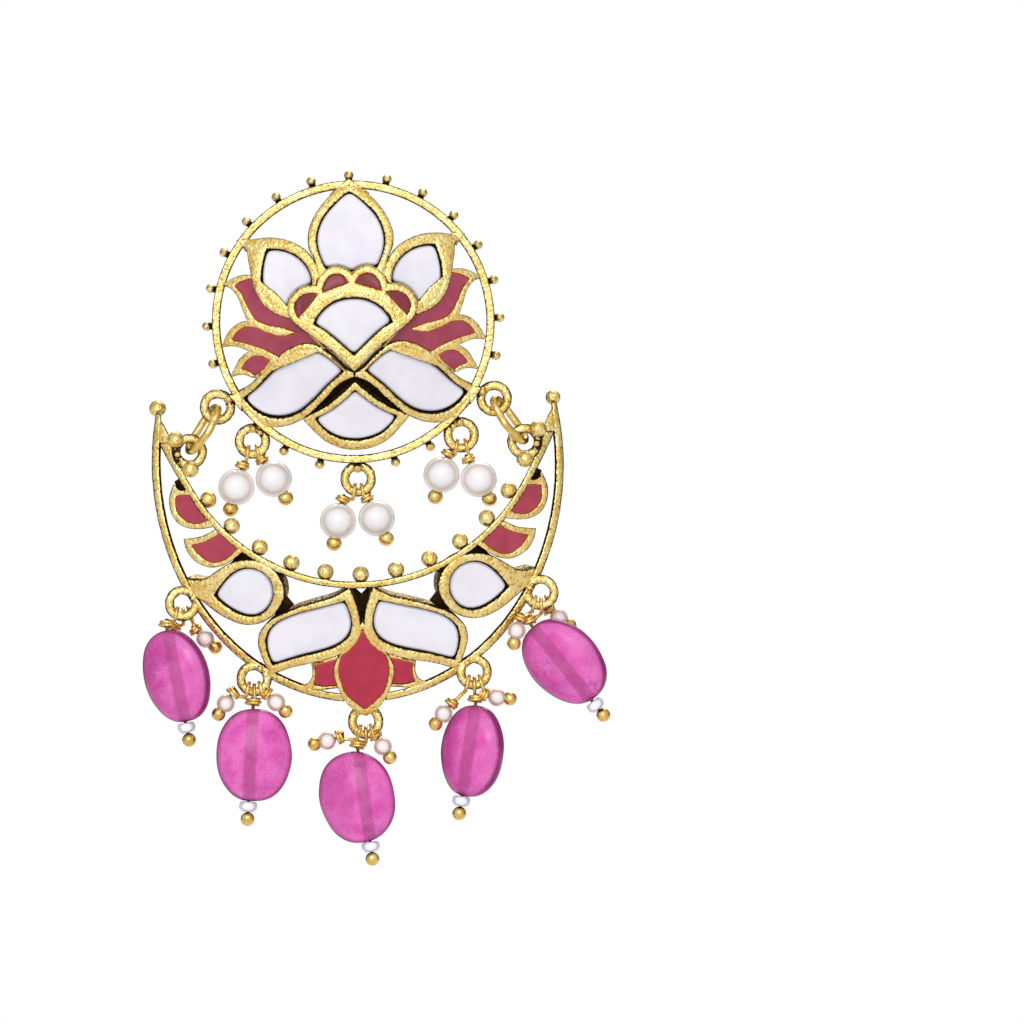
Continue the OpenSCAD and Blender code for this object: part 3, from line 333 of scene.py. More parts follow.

# %% [markdown]
# ## A shell of points
# Every piece is gathered in a list of points in millimetres and a list of faces. Beside each point
# stands how dark the metal is painted there: 0 on a rubbed face, 1 deep in a corner. The value is
# tarnished metal and painted shade together: the dark is laid in corners, hollows, hole walls and
# under balls, where shade falls. The gold finish reads it, so that the dark lines follow the
# shape.


# %% Gather points and faces
class Shell:
    def __init__(self):
        self.points, self.faces, self.tarnish_and_shade = [], [], []

    def add(self, points, faces, tarnish_and_shade=0.0):
        """The darkness, tarnished metal and painted shade, is one value, a list with one for each
        point, or a function of the point.
        """
        start = len(self.points)
        self.points.extend(points)
        self.faces.extend([[start + i for i in face] for face in faces])
        if callable(tarnish_and_shade):
            tarnish_and_shade = [tarnish_and_shade(p) for p in points]
        elif not hasattr(tarnish_and_shade, "__len__"):
            tarnish_and_shade = [tarnish_and_shade] * len(points)
        self.tarnish_and_shade.extend(tarnish_and_shade)
        return self

    def rings(self, rings, tarnish_and_shade=0.0, closed=False, capped=False):
        """Joins rings of equally many points into a skin. A list has one darkness value, tarnished
        metal and painted shade, for each ring.
        """
        n = len(rings[0])
        points = [p for ring in rings for p in ring]
        faces = []
        for k in range(len(rings) if closed else len(rings) - 1):
            a, b = k * n, (k + 1) % len(rings) * n
            faces += [(a + i, a + (i + 1) % n, b + (i + 1) % n, b + i) for i in range(n)]
        if capped:
            faces += [range(n)[::-1], range(len(points) - n, len(points))]
        if hasattr(tarnish_and_shade, "__len__"):
            tarnish_and_shade = [t for t in tarnish_and_shade for _ in range(n)]
        return self.add(points, faces, tarnish_and_shade)


# %% Make an object, and give it its CAD node's place
WELD = 0.002


def mesh_piece(name, shell, material):
    """A Blender object from a shell, welded and with its faces turned outwards."""
    mesh = bpy.data.meshes.new(name)
    mesh.from_pydata([p * MM for p in shell.points], [], shell.faces)
    # The darkness of each point, tarnished metal and painted shade, goes into an attribute that
    # the finishes read.
    layer = mesh.attributes.new("tarnish_and_shade", "FLOAT", "POINT")
    layer.data.foreach_set("value", [float(t) for t in shell.tarnish_and_shade])
    bm = bmesh.new()
    bm.from_mesh(mesh)
    bmesh.ops.remove_doubles(bm, verts=bm.verts, dist=WELD * MM)
    bmesh.ops.recalc_face_normals(bm, faces=bm.faces)
    bm.to_mesh(mesh)
    bm.free()
    mesh.shade_smooth()
    mesh.materials.append(material)
    made = bpy.data.objects.new(name, mesh)
    bpy.context.scene.collection.objects.link(made)
    print(name, "has", len(mesh.vertices), "points")
    return made


def take_place(piece, node, body):
    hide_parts(node)
    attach(piece, body)


def placed(name, shell, material, node, body):
    take_place(mesh_piece(name, shell, material), node, body)


# %% [markdown]
# ## Walled cells
# A cell is a plate with openings: an outer wall, a softly rounded edge, a face and the inner walls
# round each stone. The face is filled with triangles over a net of inner points, so that it
# follows the dome and shades smoothly.

# %% Fill an outline, leave its holes
NET_STEP, ROW_PITCH, KEEP_OFF = 0.6, 0.87, 0.45


def inside_rims(rims, points, face):
    """True where the face's middle is inside the first rim and outside the others."""
    middle = sum((points[i] for i in face), Vector((0, 0))) / len(face)
    crossings = 0
    for rim in rims:
        for i, b in enumerate(rim):
            a = rim[i - 1]
            if (a.y > middle.y) != (b.y > middle.y):
                part = (middle.y - a.y) / (b.y - a.y)
                crossings += a.x + part * (b.x - a.x) > middle.x
    return crossings % 2 == 1


def fill(outer, holes=(), step=NET_STEP):
    """Triangles inside outer and outside the holes: their points and corners."""
    rims = [[p for i, p in enumerate(rim) if (p - rim[i - 1]).length > 1e-4]
            for rim in (outer, *holes)]
    border = [p for rim in rims for p in rim]
    near = tree_of(border)
    low_x, high_x = min(p.x for p in outer), max(p.x for p in outer)
    low_y, high_y = min(p.y for p in outer), max(p.y for p in outer)
    net = []
    for row in range(int((high_y - low_y) / step / ROW_PITCH) + 1):
        for k in range(int((high_x - low_x) / step) + 2):
            p = Vector((low_x + (k + row % 2 / 2) * step,
                        low_y + (row + 0.5) * step * ROW_PITCH))
            if near.find((p.x, p.y, 0))[2] > KEEP_OFF * step:
                net.append(p)
    loops, start = [], 0
    for rim in rims:
        loops.append(list(range(start, start + len(rim))))
        start += len(rim)
    points, _, faces, _, _, sources = delaunay_2d_cdt(border + net, [], loops, 1, 1e-5)
    kept = [face for face, source in zip(faces, sources) if source == [0]]
    wanted = abs(signed_area(rims[0])) - sum(abs(signed_area(rim)) for rim in rims[1:])
    made = sum(abs(signed_area([points[i] for i in face])) for face in kept)
    if abs(made - wanted) > 0.03 * wanted:
        # A rim that touches itself confuses the inside test, so each triangle is tested by itself
        faces = delaunay_2d_cdt(border + net, [], loops, 0, 1e-5)[2]
        kept = [face for face in faces if inside_rims(rims, points, face)]
    used = sorted({i for face in kept for i in face})
    place = {i: k for k, i in enumerate(used)}
    return [points[i] for i in used], [[place[i] for i in face] for face in kept]


def swell(p, amount=0.035):
    """How far a hand-finished face rises or falls at p."""
    return amount * noise.noise(Vector((p.x * 0.7, p.y * 0.7, 3.3)))


# %% One walled plate
EDGE, FINE_EDGE = 0.14, 0.09
FLOOR_T = 0.55
# How far in and how far down, in edges, for each row of points of a rounded edge
ROUNDING = ((0.0, 1.7), (0.3, 0.95), (1.0, 0.4), (1.9, 0.0))


def plate(shell, outer, holes, dome, back_r, top_r, floor_r=None, edge=EDGE, face=0.0,
          hole_wall=1.0):
    """Adds a plate with openings. The face lies at top_r, the back at back_r, floors at floor_r.

    The face and the walls of the openings are as dark as face and hole_wall say: tarnished metal
    and painted shade.
    """
    def level(points, r, lift=True):
        return [dome.at(p, r + (swell(p) if lift else 0)) for p in points]

    def rounded(points, way):
        return [level(inset(points, way * i * edge) if i else points, top_r - down * edge)
                for i, down in ROUNDING]

    face_in = ROUNDING[-1][0] * edge
    # Painted shade and tarnished metal: the walls and the rounded edge are dark, which draws the
    # dark line round each cell.
    shell.rings([
        level(inset(outer, edge), back_r, False), level(outer, back_r + edge, False),
        level(outer, (back_r + top_r) / 2, False), *rounded(outer, 1),
    ], [0.35, 0.5, max(0.6, face), 0.9, 0.85, max(0.42, face), face])
    points, triangles = fill(inset(outer, face_in), [inset(hole, -face_in) for hole in holes])
    shell.add(level(points, top_r), triangles, face)
    points, triangles = fill(inset(outer, edge), (), 1.2)
    shell.add(level(points, back_r, False), triangles, 0.35)
    floor_r = back_r + FLOOR_T if floor_r is None else floor_r
    # The hole walls and floors are painted dark: painted shade down in the openings.
    for hole in holes:
        shell.rings([
            *rounded(hole, -1)[::-1], level(hole, (top_r + floor_r) / 2, False),
            level(hole, floor_r, False),
        ], [0.0, 0.25, 0.6 * hole_wall, hole_wall, hole_wall, hole_wall])
        points, triangles = fill(hole, (), 1.0)
        shell.add(level(points, floor_r, False), triangles, 1.0)
    return shell


def cell(shell, rows, openings, side, dome, back_r, top_r, **more):
    """Adds a plate that is drawn from tables."""
    plate(shell, drawn(rows, side), [drawn(opening, side) for opening in openings], dome, back_r,
          top_r, **more)


# %% [markdown]
# ## Finishes
# Gold is a metal: its colour is the colour of what it mirrors. A fine pitted bump breaks the
# reflections up, a slow noise moves the colour between pale and deep gold, and the darkness of
# each
# point mixes in a nearly black brown: tarnished metal, and painted shade in corners and hollows.


# %% A small helper for shader nodes
def linear(code):
    """A colour for the shader from the hex code that a picture editor shows."""
    values = [int(code[i:i + 2], 16) / 255 for i in (1, 3, 5)]
    return *(v / 12.92 if v <= 0.04045 else ((v + 0.055) / 1.055)**2.4 for v in values), 1.0


class Nodes:
    """Adds nodes to a tree, and feeds their inputs with values or other nodes' outputs."""

    def __init__(self, tree):
        self.tree = tree

    def node(self, kind, inputs=None, **settings):
        made = self.tree.nodes.new(kind)
        for key, value in settings.items():
            setattr(made, key, value)
        for key, value in (inputs or {}).items():
            self.feed(made.inputs[key], value)
        return made

    def feed(self, socket, value):
        if isinstance(value, bpy.types.NodeSocket):
            self.tree.links.new(value, socket)
        else:
            socket.default_value = value


class Finish(Nodes):
    """A material with its nodes."""

    def __init__(self, name):
        self.material = bpy.data.materials.new(name)
        self.material.use_nodes = True
        super().__init__(self.material.node_tree)
        self.shader = self.tree.nodes["Principled BSDF"]
        self.place = self.node("ShaderNodeTexCoord").outputs["Object"]

    def set(self, **values):
        for key, value in values.items():
            self.feed(self.shader.inputs[key.replace("_", " ")], value)

    def noise(self, size, detail=3.0, rough=0.55):
        """Noise whose patches are about size millimetres wide, from 0 to 1."""
        made = self.node("ShaderNodeTexNoise", {
            "Vector": self.place, "Scale": 1 / (size * MM), "Detail": detail, "Roughness": rough,
        })
        return made.outputs["Fac"]

    def math(self, what, a, b=0.0):
        return self.node("ShaderNodeMath", {0: a, 1: b}, operation=what).outputs[0]

    def span(self, value, low, high, to_low=0.0, to_high=1.0):
        """Maps low..high to to_low..to_high, smoothly, and holds the ends."""
        return self.node("ShaderNodeMapRange", {
            "Value": value, "From Min": low, "From Max": high, "To Min": to_low, "To Max": to_high,
        }, interpolation_type="SMOOTHSTEP").outputs["Result"]

    def mix(self, amount, a, b):
        return self.node("ShaderNodeMix", {0: amount, 6: a, 7: b}, data_type="RGBA").outputs[2]

    def over(self, base, colour, value, low, high, amount=1.0):
        """Lays a colour over the base: none of it where value is low, amount where it is high."""
        return self.mix(self.span(value, low, high, 0.0, amount), base, linear(colour))

    def bump(self, height, strength, distance):
        """Bump whose relief is distance millimetres deep."""
        return self.node("ShaderNodeBump", {
            "Height": height, "Strength": strength, "Distance": distance * MM,
        }).outputs["Normal"]

    def attribute(self, name):
        return self.node("ShaderNodeAttribute", attribute_name=name).outputs["Fac"]


# %% Antique gilt metal
def gilt(name, pale, deep, dark, pits=0.9, roughness=0.32, fixed_tarnish_and_shade=None):
    finish = Finish(name)
    grain = finish.noise(0.34, 3.0, 0.6)
    fine = finish.noise(0.12, 2.0)
    gold = finish.over(linear(pale), deep, finish.noise(1.8), 0.35, 0.65)
    gold = finish.mix(finish.span(grain, 0.34, 0.5, 0.62 * pits, 0.0), gold, linear("#8A6224"))
    # The dark brown follows the darkness of each point, tarnished metal and painted shade, mottled
    # by the grain.
    tarnish_and_shade = finish.attribute("tarnish_and_shade") if fixed_tarnish_and_shade is None else fixed_tarnish_and_shade
    spots = finish.math("MULTIPLY", finish.math("SUBTRACT", grain, 0.5), -1.5)
    shade_and_tarnish_amount = finish.span(finish.math("ADD", tarnish_and_shade, spots), 0.42, 0.78)
    finish.set(
        Base_Color=finish.mix(shade_and_tarnish_amount, gold, linear(dark)), Metallic=1.0,
        Roughness=finish.span(finish.math("ADD", finish.math("MULTIPLY", fine, 0.6), shade_and_tarnish_amount),
                              0.1, 1.4, roughness - 0.06, 0.65))
    dents = finish.node("ShaderNodeTexVoronoi", {
        "Vector": finish.place, "Scale": 1 / (0.38 * MM), "Randomness": 1.0,
    }).outputs["Distance"]
    relief = finish.math("ADD", finish.math("MULTIPLY", dents, 0.7), grain)
    finish.set(Normal=finish.bump(relief, pits, 0.11))
    return finish.material


# The third colour of each gold is the dark brown of tarnished metal and painted shade.
gold_face = gilt("gilt_cast", "#FFE9A0", "#F5D17A", "#3A2814")
gold_wire = gilt("gilt_wire", "#F9D98C", "#E3B862", "#3A2612", pits=0.4, roughness=0.26)
gold_smooth = gilt("gilt_turned", "#F8D890", "#E3B866", "#3A2410", pits=0.2, roughness=0.24,
                   fixed_tarnish_and_shade=0.1)


# %% [markdown]
# Flat glass stones lie on bright foil: they look pale and slightly violet, with clear reflections.
# Enamel is coloured glass fused in a cell: glossy, a little uneven, and lighter where it thins
# against the wall. Pearls are painted with shade and light by how far the skin turns from the
# viewer:
# a darker ring, and a light rim at the very edge.

# %% Stones and enamel
def pale_stone():
    finish = Finish("pale_stone")
    cloud = finish.noise(3.5, 2.0)
    dust = finish.noise(0.5, 3.0)
    body = finish.over(linear("#EEEBF3"), "#E5E2EC", cloud, 0.3, 0.7)
    # The grey violet is painted shade: on the stone's walls and base, at its girdle, and in a
    # faint line at the table's edge.
    finish.set(
        Base_Color=finish.over(body, "#6A6070", finish.attribute("tarnish_and_shade"), 0.05, 1.0),
        Roughness=finish.span(dust, 0.3, 0.8, 0.2, 0.32), IOR=1.45, Coat_Weight=0.05,
        Coat_Roughness=0.1, Specular_IOR_Level=0.35, Subsurface_Weight=0.1,
        Subsurface_Scale=0.0008, Normal=finish.bump(cloud, 0.05, 0.15))
    return finish.material


def crimson_enamel(name, light, deep, edge_colour):
    finish = Finish(name)
    specks = finish.noise(0.25, 3.0)
    body = finish.over(linear(light), deep, finish.noise(1.6, 3.0), 0.3, 0.7)
    # Where the darkness value is high, near the wall, the enamel thins and shows its own warmer
    # edge colour.
    finish.set(
        Base_Color=finish.over(body, edge_colour, finish.attribute("tarnish_and_shade"), 0.35, 0.95, 0.85),
        Roughness=finish.span(specks, 0.3, 0.7, 0.32, 0.45), IOR=1.4, Coat_Weight=0.12,
        Coat_Roughness=0.15, Normal=finish.bump(specks, 0.12, 0.03))
    return finish.material


# %% Pearls and beads
# Used to paint shade and light by how far a surface turns from the viewer.
def facing(finish):
    """0 where the surface faces the viewer, 1 where it turns away."""
    return finish.node("ShaderNodeLayerWeight", {"Blend": 0.5}).outputs["Facing"]


def pearl(name, middle, cream, shade, rim, roughness=0.22):
    """Bright in the middle, with painted shade where the skin turns away, and a painted light rim
    at the very edge.
    """
    finish = Finish(name)
    cloud = finish.noise(1.5, 2.0)
    # Painted shade and light follow how far the skin turns away, a little broken by the cloud.
    painted_shade_and_rim_light = finish.math("ADD", facing(finish), finish.math("MULTIPLY", cloud, 0.12))
    skin = linear(middle)
    for colour, low, high in ((cream, 0.06, 0.24), (shade, 0.2, 0.42), (rim, 0.44, 0.68)):
        skin = finish.over(skin, colour, painted_shade_and_rim_light, low, high)
    finish.set(
        Base_Color=skin, Roughness=roughness, IOR=1.5, Coat_Weight=0.3, Coat_Roughness=0.12,
        Subsurface_Weight=0.15, Subsurface_Scale=0.0008, Specular_IOR_Level=0.55,
        Normal=finish.bump(cloud, 0.08, 0.05))
    return finish.material


def pink_stone():
    """Clouded glass with a painted light band and a painted dark line near its thin edge, painted
    shade where it turns away, a painted darker strip where the drill hole shows through, and a few
    cracks.
    """
    finish = Finish("pink_stone")
    cloud = finish.noise(2.2, 3.0)
    fine = finish.noise(0.5, 3.0)
    # The strip over the drill hole comes in the same darkness attribute that the gold reads.
    girdle, channel = finish.attribute("girdle"), finish.attribute("tarnish_and_shade")
    away = facing(finish)
    body = linear("#FF80D8")
    # Painted light and shade: a light band and a dark line at the thin edge, a darker strip where
    # the drill hole shows through, and shade where the bead turns away. The cloud, specks and slow
    # patches are the glass's own tone.
    for colour, value, low, high, amount in (
        ("#EC5CC0", cloud, 0.32, 0.68, 1.0), ("#B8368C", fine, 0.5, 0.8, 0.22),
        ("#B03488", finish.noise(6.0, 1.0), 0.48, 0.68, 0.35),
        ("#FA90D8", girdle, 0.72, 0.86, 0.35), ("#6E1250", girdle, 0.93, 0.99, 0.92),
        ("#B0487F", channel, 0.0, 0.35, 0.5), ("#C4389A", away, 0.2, 0.5, 0.5),
        ("#5E1244", away, 0.55, 0.88, 1.0),
    ):
        body = finish.over(body, colour, value, low, high, amount)
    crack = finish.math("ABSOLUTE", finish.math("SUBTRACT", finish.noise(1.5, 4.0, 0.65), 0.5))
    patch = finish.span(finish.noise(5.0, 1.0), 0.52, 0.62, 0.0, 0.55)
    crack = finish.math("MULTIPLY", finish.span(crack, 0.004, 0.02, 1.0, 0.0), patch)
    finish.set(
        Base_Color=finish.mix(crack, body, linear("#7A1A5C")),
        Roughness=finish.span(fine, 0.3, 0.7, 0.2, 0.3), IOR=1.46, Transmission_Weight=0.25,
        Specular_IOR_Level=0.25, Subsurface_Weight=0.2, Subsurface_Scale=0.0015,
        Normal=finish.bump(cloud, 0.12, 0.15))
    return finish.material


stone_glass = pale_stone()
enamel_rose = crimson_enamel("enamel_rose", "#AD3C52", "#A03348", "#C85230")
enamel_red = crimson_enamel("enamel_red", "#B82847", "#AA2440", "#D2522A")
enamel_plum = crimson_enamel("enamel_plum", "#A44057", "#95354B", "#C44A2A")
enamel_crimson = crimson_enamel("enamel_crimson", "#862537", "#741D2E", "#AE3C26")
# The pearls and the white glass beads get a painted shade ring and a painted light rim.
pearl_large = pearl("pearl_large", "#F1EEF0", "#EDE9EA", "#D8CECA", "#FFFCF8")
pearl_seed = pearl("pearl_seed", "#F4EDEE", "#EEE0DD", "#C6A496", "#F1E1D8", 0.18)
bead_glass = pearl("white_glass", "#FBFBFF", "#F1F0F8", "#C9C4D6", "#E4E0EC", 0.14)
bead_pink = pink_stone()
print("materials:", len(bpy.data.materials))

# %% [markdown]
# ## The round rim
# The rim is a flat ring. Its section is drawn once, with soft corners, and turned about the middle
# of the lotus. The corners stay bright, and the inner wall is painted dark, as is the outer one:
# painted shade with tarnished metal.


# %% A piece of cast gold
CAST_NODES = {"frame": "upper_frame", "crescent": "crescent_frame"}


def cast(name, shell, body):
    placed(name, shell, gold_face, CAST_NODES[body], body)


# %% Turn a section about an axis
def angles(n):
    return [2 * math.pi * k / n for k in range(n)]


def circle_path(middle, u, v, r, steps):
    return [middle + r * (math.cos(a) * u + math.sin(a) * v) for a in angles(steps)]


def turned(shell, section, middle, axis, sides, tarnish_and_shade, closed=True, start=None):
    """Adds a turned skin. Each row of section is how far along the axis, and how far out."""
    axis = axis.normalized()
    out = start or axis.orthogonal()
    out = (out - axis * out.dot(axis)).normalized()
    side = axis.cross(out)
    rings = [circle_path(middle + axis * along, out, side, r, sides) for along, r in section]
    return shell.rings(rings, tarnish_and_shade, closed=closed)


FRONT = Vector((0, -1, 0))
ACROSS = Vector((1, 0, 0))
rim_middle = Vector((0, 0, rim_z))
rim_in = rim_r - rim_w
rim_section = [
    (0, rim_in + 0.1), (0, rim_r - 0.12), (0.12, rim_r), (0.9, rim_r), (rim_depth - 0.18, rim_r),
    (rim_depth - 0.06, rim_r - 0.05), (rim_depth - 0.02, rim_r - 0.12), (rim_depth, rim_r - 0.24),
    (rim_depth, rim_in + 0.27), (rim_depth - 0.02, rim_in + 0.15),
    (rim_depth - 0.06, rim_in + 0.06), (rim_depth - 0.2, rim_in), (1.1, rim_in), (0.1, rim_in),
]
# Darkness of each row of the section: bright corners, and walls painted dark with painted shade
# and tarnished metal.
rim_tarnish_and_shade = [0.3, 0.3, 0.3, 0.4, 1.0, 0.85, 0.35, 0.0, 0.0, 0.35, 0.85, 1.0, 1.0, 0.6]
rim_shell = turned(Shell(), rim_section, rim_middle, FRONT, 240, rim_tarnish_and_shade, start=ACROSS)
# The lower half has a wider dark line inside, widest at the bottom: painted shade and tarnished
# metal
for i, p in enumerate(rim_shell.points):
    inner = rim_in + 0.1 > (p - rim_middle).xz.length
    if inner and p.y < -rim_depth + 0.2:
        rim_shell.tarnish_and_shade[i] = max(rim_shell.tarnish_and_shade[i], 1.3 * (rim_z - p.z) / rim_r)
cast("lotus_rim", rim_shell, "frame")

# %% [markdown]
# Small beads on short necks stand round the rim. Each is a little uneven, like cast metal, so its
# points are pushed in and out by a slow noise.


# %% Uneven ball, and the beads round the rim
def ball(shell, middle, r, axis=FRONT, stretch_by=1.0, rows=12, sides=20, rough=0.03, tarnish_and_shade=0.0):
    """Adds a ball with its poles on the axis."""
    axis = axis.normalized()
    out = axis.orthogonal().normalized()
    side = axis.cross(out)
    points, faces = [], []
    for i in range(1, rows):
        t = math.pi * i / rows
        for a in angles(sides):
            points.append(r * (axis * stretch_by * math.cos(t)
                               + math.sin(t) * (math.cos(a) * out + math.sin(a) * side)))
    points += [axis * r * stretch_by, -axis * r * stretch_by]
    moved = []
    for p in points:
        lift = rough * noise.noise((p + middle * 1.7) * (0.9 / r))
        moved.append(middle + p * (1 + lift / r))
    for i in range(rows - 2):
        for k in range(sides):
            n = (k + 1) % sides
            faces.append((i * sides + k, i * sides + n, (i + 1) * sides + n, (i + 1) * sides + k))
    top, bottom = len(points) - 2, len(points) - 1
    for k in range(sides):
        n = (k + 1) % sides
        faces.append((top, n, k))
        faces.append((bottom, (rows - 2) * sides + k, (rows - 2) * sides + n))
    return shell.add(moved, faces, tarnish_and_shade)


PINS = 24
pin_ball_r, pin_reach = 0.545, 0.595
NECK_SECTION = [(-0.3, 0.5), (0.0, 0.42), (0.3, 0.36)]
pins_shell = Shell()
for a in angles(PINS):
    out = Vector((math.sin(a), 0, math.cos(a)))
    middle = Vector((0, hang_y, rim_z)) + out * (rim_r + pin_reach)
    # Painted shade: each ball darkens on its side towards the rim, and its neck is painted nearly
    # black.
    ball(pins_shell, middle, pin_ball_r, stretch_by=1.85, rough=0.008,
         tarnish_and_shade=lambda p: 1.1 * max(0, -(p - middle).dot(out) / pin_ball_r))
    turned(pins_shell, NECK_SECTION, middle - out * 0.6, out, 16, [0.9, 1.0, 1.0], closed=False)
cast("rim_pins", pins_shell, "frame")

# %% [markdown]
# ## Petals, leaves and cup
# The cells of the lotus come next. Neighbours lie at slightly different heights, as soldered cells
# do, and the dark lines between them are their own rounded edges, painted dark: painted shade with
# tarnished metal.

# %% Cells of the lotus
lotus_back = lotus_r - lotus_wall
enamel_drop, enamel_t, gap = 0.14, 0.6, 0.06
enamel_floor = enamel_drop + enamel_t + gap
ENAMELLED = {"edge": FINE_EDGE, "hole_wall": 0.5}
BACK_PLATE_T = 0.5
petals, leaves, arms = Shell(), Shell(), Shell()
cell(petals, TOP_PETAL, [TOP_OPENING], 0, lotus, lotus_back, lotus_r)
cell(leaves, BASE_PETAL, [BASE_OPENING], 0, lotus, lotus_back, lotus_r - 0.03)
# A dark plate behind the slots between the leaves and the base petal: painted shade.
cell(leaves, SLOT_SHADE_BACK, [], 0, lotus, lotus_back, lotus_back + BACK_PLATE_T, face=1.0)

# %% The tips of petals and leaves are hammered flat over the rim
FLAT_R = 1000.0
flat_front = Dome(Vector((0, FLAT_R, rim_z)), FLAT_R)
tip_t, tip_proud = 0.72, 0.22
tip_levels = (FLAT_R + rim_depth + tip_proud - tip_t, FLAT_R + rim_depth + tip_proud)
cell(petals, TOP_TIP, [], 0, flat_front, *tip_levels, edge=FINE_EDGE)
for side in (-1, 1):
    cell(petals, SIDE_TIP, [], side, flat_front, *tip_levels, edge=FINE_EDGE)
    cell(leaves, LEAF_TIP, [], side, flat_front, *tip_levels, edge=FINE_EDGE)
    cell(petals, SIDE_PETAL, [SIDE_OPENING], side, lotus, lotus_back, lotus_r - 0.04)
    cell(leaves, LEAF, [LEAF_OPENING], side, lotus, lotus_back, lotus_r + 0.02 * side)
    cell(arms, ARMS, [ARMS_ENAMEL, THIRD_ENAMEL], side, lotus, lotus_back, lotus_r - 0.08,
         floor_r=lotus_r - enamel_floor, **ENAMELLED)
cast("lotus_petals", petals, "frame")
cast("lotus_leaves", leaves, "frame")
cast("lotus_arms", arms, "frame")

# %% The scalloped cup stands proud of the petals
cup_r = lotus_r + cup_rise - 0.01
scallops = [drawn(rows, side) for rows in (INNER_SCALLOP, OUTER_SCALLOP) for side in (-1, 1)]
cup_shell = plate(Shell(), drawn(CUP), [drawn(FAN_OPENING), *scallops], cup,
                  lotus_back + 0.05, cup_r, floor_r=cup_r - enamel_floor - 0.4, edge=0.11)

# %% [markdown]
# A fine line runs along the arch under the scallops. On the real one it is engraved; here it is a
# thin wire, half sunk in the face, and painted dark at its foot: painted shade.

# %% Sweep a wire along a path
def wire(shell, path, r, sides=12, closed=False, rough=0.0, tarnish_and_shade=0.0):
    """Adds a round wire along the points of a path; r is one radius, or one for each point."""
    n = len(path)
    radii = r if hasattr(r, "__len__") else [r] * n
    ahead = []
    for i in range(n):
        a = path[i - 1] if closed or i else path[i]
        b = path[(i + 1) % n] if closed or i < n - 1 else path[i]
        ahead.append((b - a).normalized())
    out = ahead[0].orthogonal().normalized()
    frames = []
    for i in range(n):
        out = (out - ahead[i] * out.dot(ahead[i])).normalized()
        frames.append((out, ahead[i].cross(out)))
    twist = 0.0
    if closed:
        last = (out - ahead[0] * out.dot(ahead[0])).normalized()
        twist = math.atan2(last.dot(frames[0][1]), last.dot(frames[0][0]))
    rings = []
    for i in range(n):
        u, v = frames[i]
        ring = []
        for a in angles(sides):
            a -= twist * i / n
            d = math.cos(a) * u + math.sin(a) * v
            p = path[i] + d * radii[i]
            if rough:
                p += d * rough * noise.noise(p * 2.2)
            ring.append(p)
        rings.append(ring)
    return shell.rings(rings, tarnish_and_shade, closed=closed, capped=not closed)


# %% The line along the cup's arch
arch = [p for p in inset(drawn(FAN_OPENING), -0.5) if p.y > -4.3]
arch.sort(key=lambda p: p.x)
# Painted shade darkens the wire where it meets the face.
wire(cup_shell, [cup.at(p, cup_r - 0.09) for p in arch], 0.13, 10,
     tarnish_and_shade=lambda p: (cup_r + 0.03 - (p - lotus_middle).length) / 0.09)
cast("lotus_cup", cup_shell, "frame")

# %% [markdown]
# ## Loops
# A loop is a thick ring of stippled wire. It is swept along a circle, and its surface is pushed in
# and out a little, so that its highlight breaks up as on the real one.


# %% Loops of the lotus
UP = Vector((0, 0, 1))
loop_r, loop_wire_r, solder_r = 1.5, 0.5, 0.36


def cast_loop(shell, x, z, y, towards, shadow=1.2):
    """Adds a loop, and the small ball of solder that joins it to its band.

    The ring is painted dark as far as shadow millimetres from the joint: painted shadow.
    """
    middle = Vector((x, y, z))
    joint = (Vector((towards[0], y, towards[1])) - middle).normalized()
    solder = middle + joint * (loop_r - 0.12) + FRONT * solder_r
    # The solder ball is painted darker towards its back: painted shade.
    ball(shell, solder, solder_r, rough=0.02,
         tarnish_and_shade=lambda p: 1.2 * (p.y - solder.y) / solder_r)

    def inside(p):
        """Painted shade: dark towards the hole and away from the front."""
        flat = Vector((p.x - x, p.z - z)).length
        across = abs(flat - loop_r) / loop_wire_r
        near_joint = 1.25 - (p - middle - joint * (loop_r + 0.25)).length / shadow
        return max(0.0, 1.1 * (across - 0.62) / 0.38 if p.y < y else 0.0,
                   min(0.58, 0.4 + (p.y - y) / loop_wire_r), near_joint)

    wire(shell, circle_path(middle, ACROSS, UP, loop_r + 0.02, 64), loop_wire_r + 0.02, 20,
         closed=True, rough=0.06, tarnish_and_shade=inside)


UPPER_LOOPS = [(15.9, -14.05), (12.0, -18.1)]
BOTTOM_LOOP = (0.0, -22.8)
loops_shell = Shell()
for side in (-1, 1):
    for x, z in UPPER_LOOPS:
        cast_loop(loops_shell, side * x, z, hang_y, (0, rim_z))
cast_loop(loops_shell, *BOTTOM_LOOP, hang_y, (0, rim_z))
cast("lotus_loops", loops_shell, "frame")

# %% Boss behind the cup, which carries the ear post
boss_r, boss_t, boss_back = 2.4, 1.6, -2.95
boss_section = [(0, 0.001), (0, boss_r - 0.1), (0.1, boss_r), (boss_t - 0.1, boss_r),
                (boss_t, boss_r - 0.1), (boss_t, 0.001)]
# The boss is painted darker towards its back: painted shade.
boss_shell = turned(Shell(), boss_section, Vector((0, boss_back, 0)), FRONT, 48,
                    [0.2, 0.3, 0.4, 0.7, 0.9, 0.9], closed=False)
cast("ear_boss", boss_shell, "frame")

# %% [markdown]
# ## Stones
# Each stone is cut to its opening: a flat table, a narrow bevel and walls that go down into the
# cell. The small rounded step between bevel and table, painted a little dark, draws the faint line
# along its edge, and the walls in the cell are painted dark: painted shade.


# %% Cut stones
SOFTENINGS = 7


def softened(points):
    """The outline with its corners rounded off, as a ground stone has them."""
    for _ in range(SOFTENINGS):
        points = [(points[i - 1] + 2 * p + points[(i + 1) % len(points)]) / 4
                  for i, p in enumerate(points)]
    return points


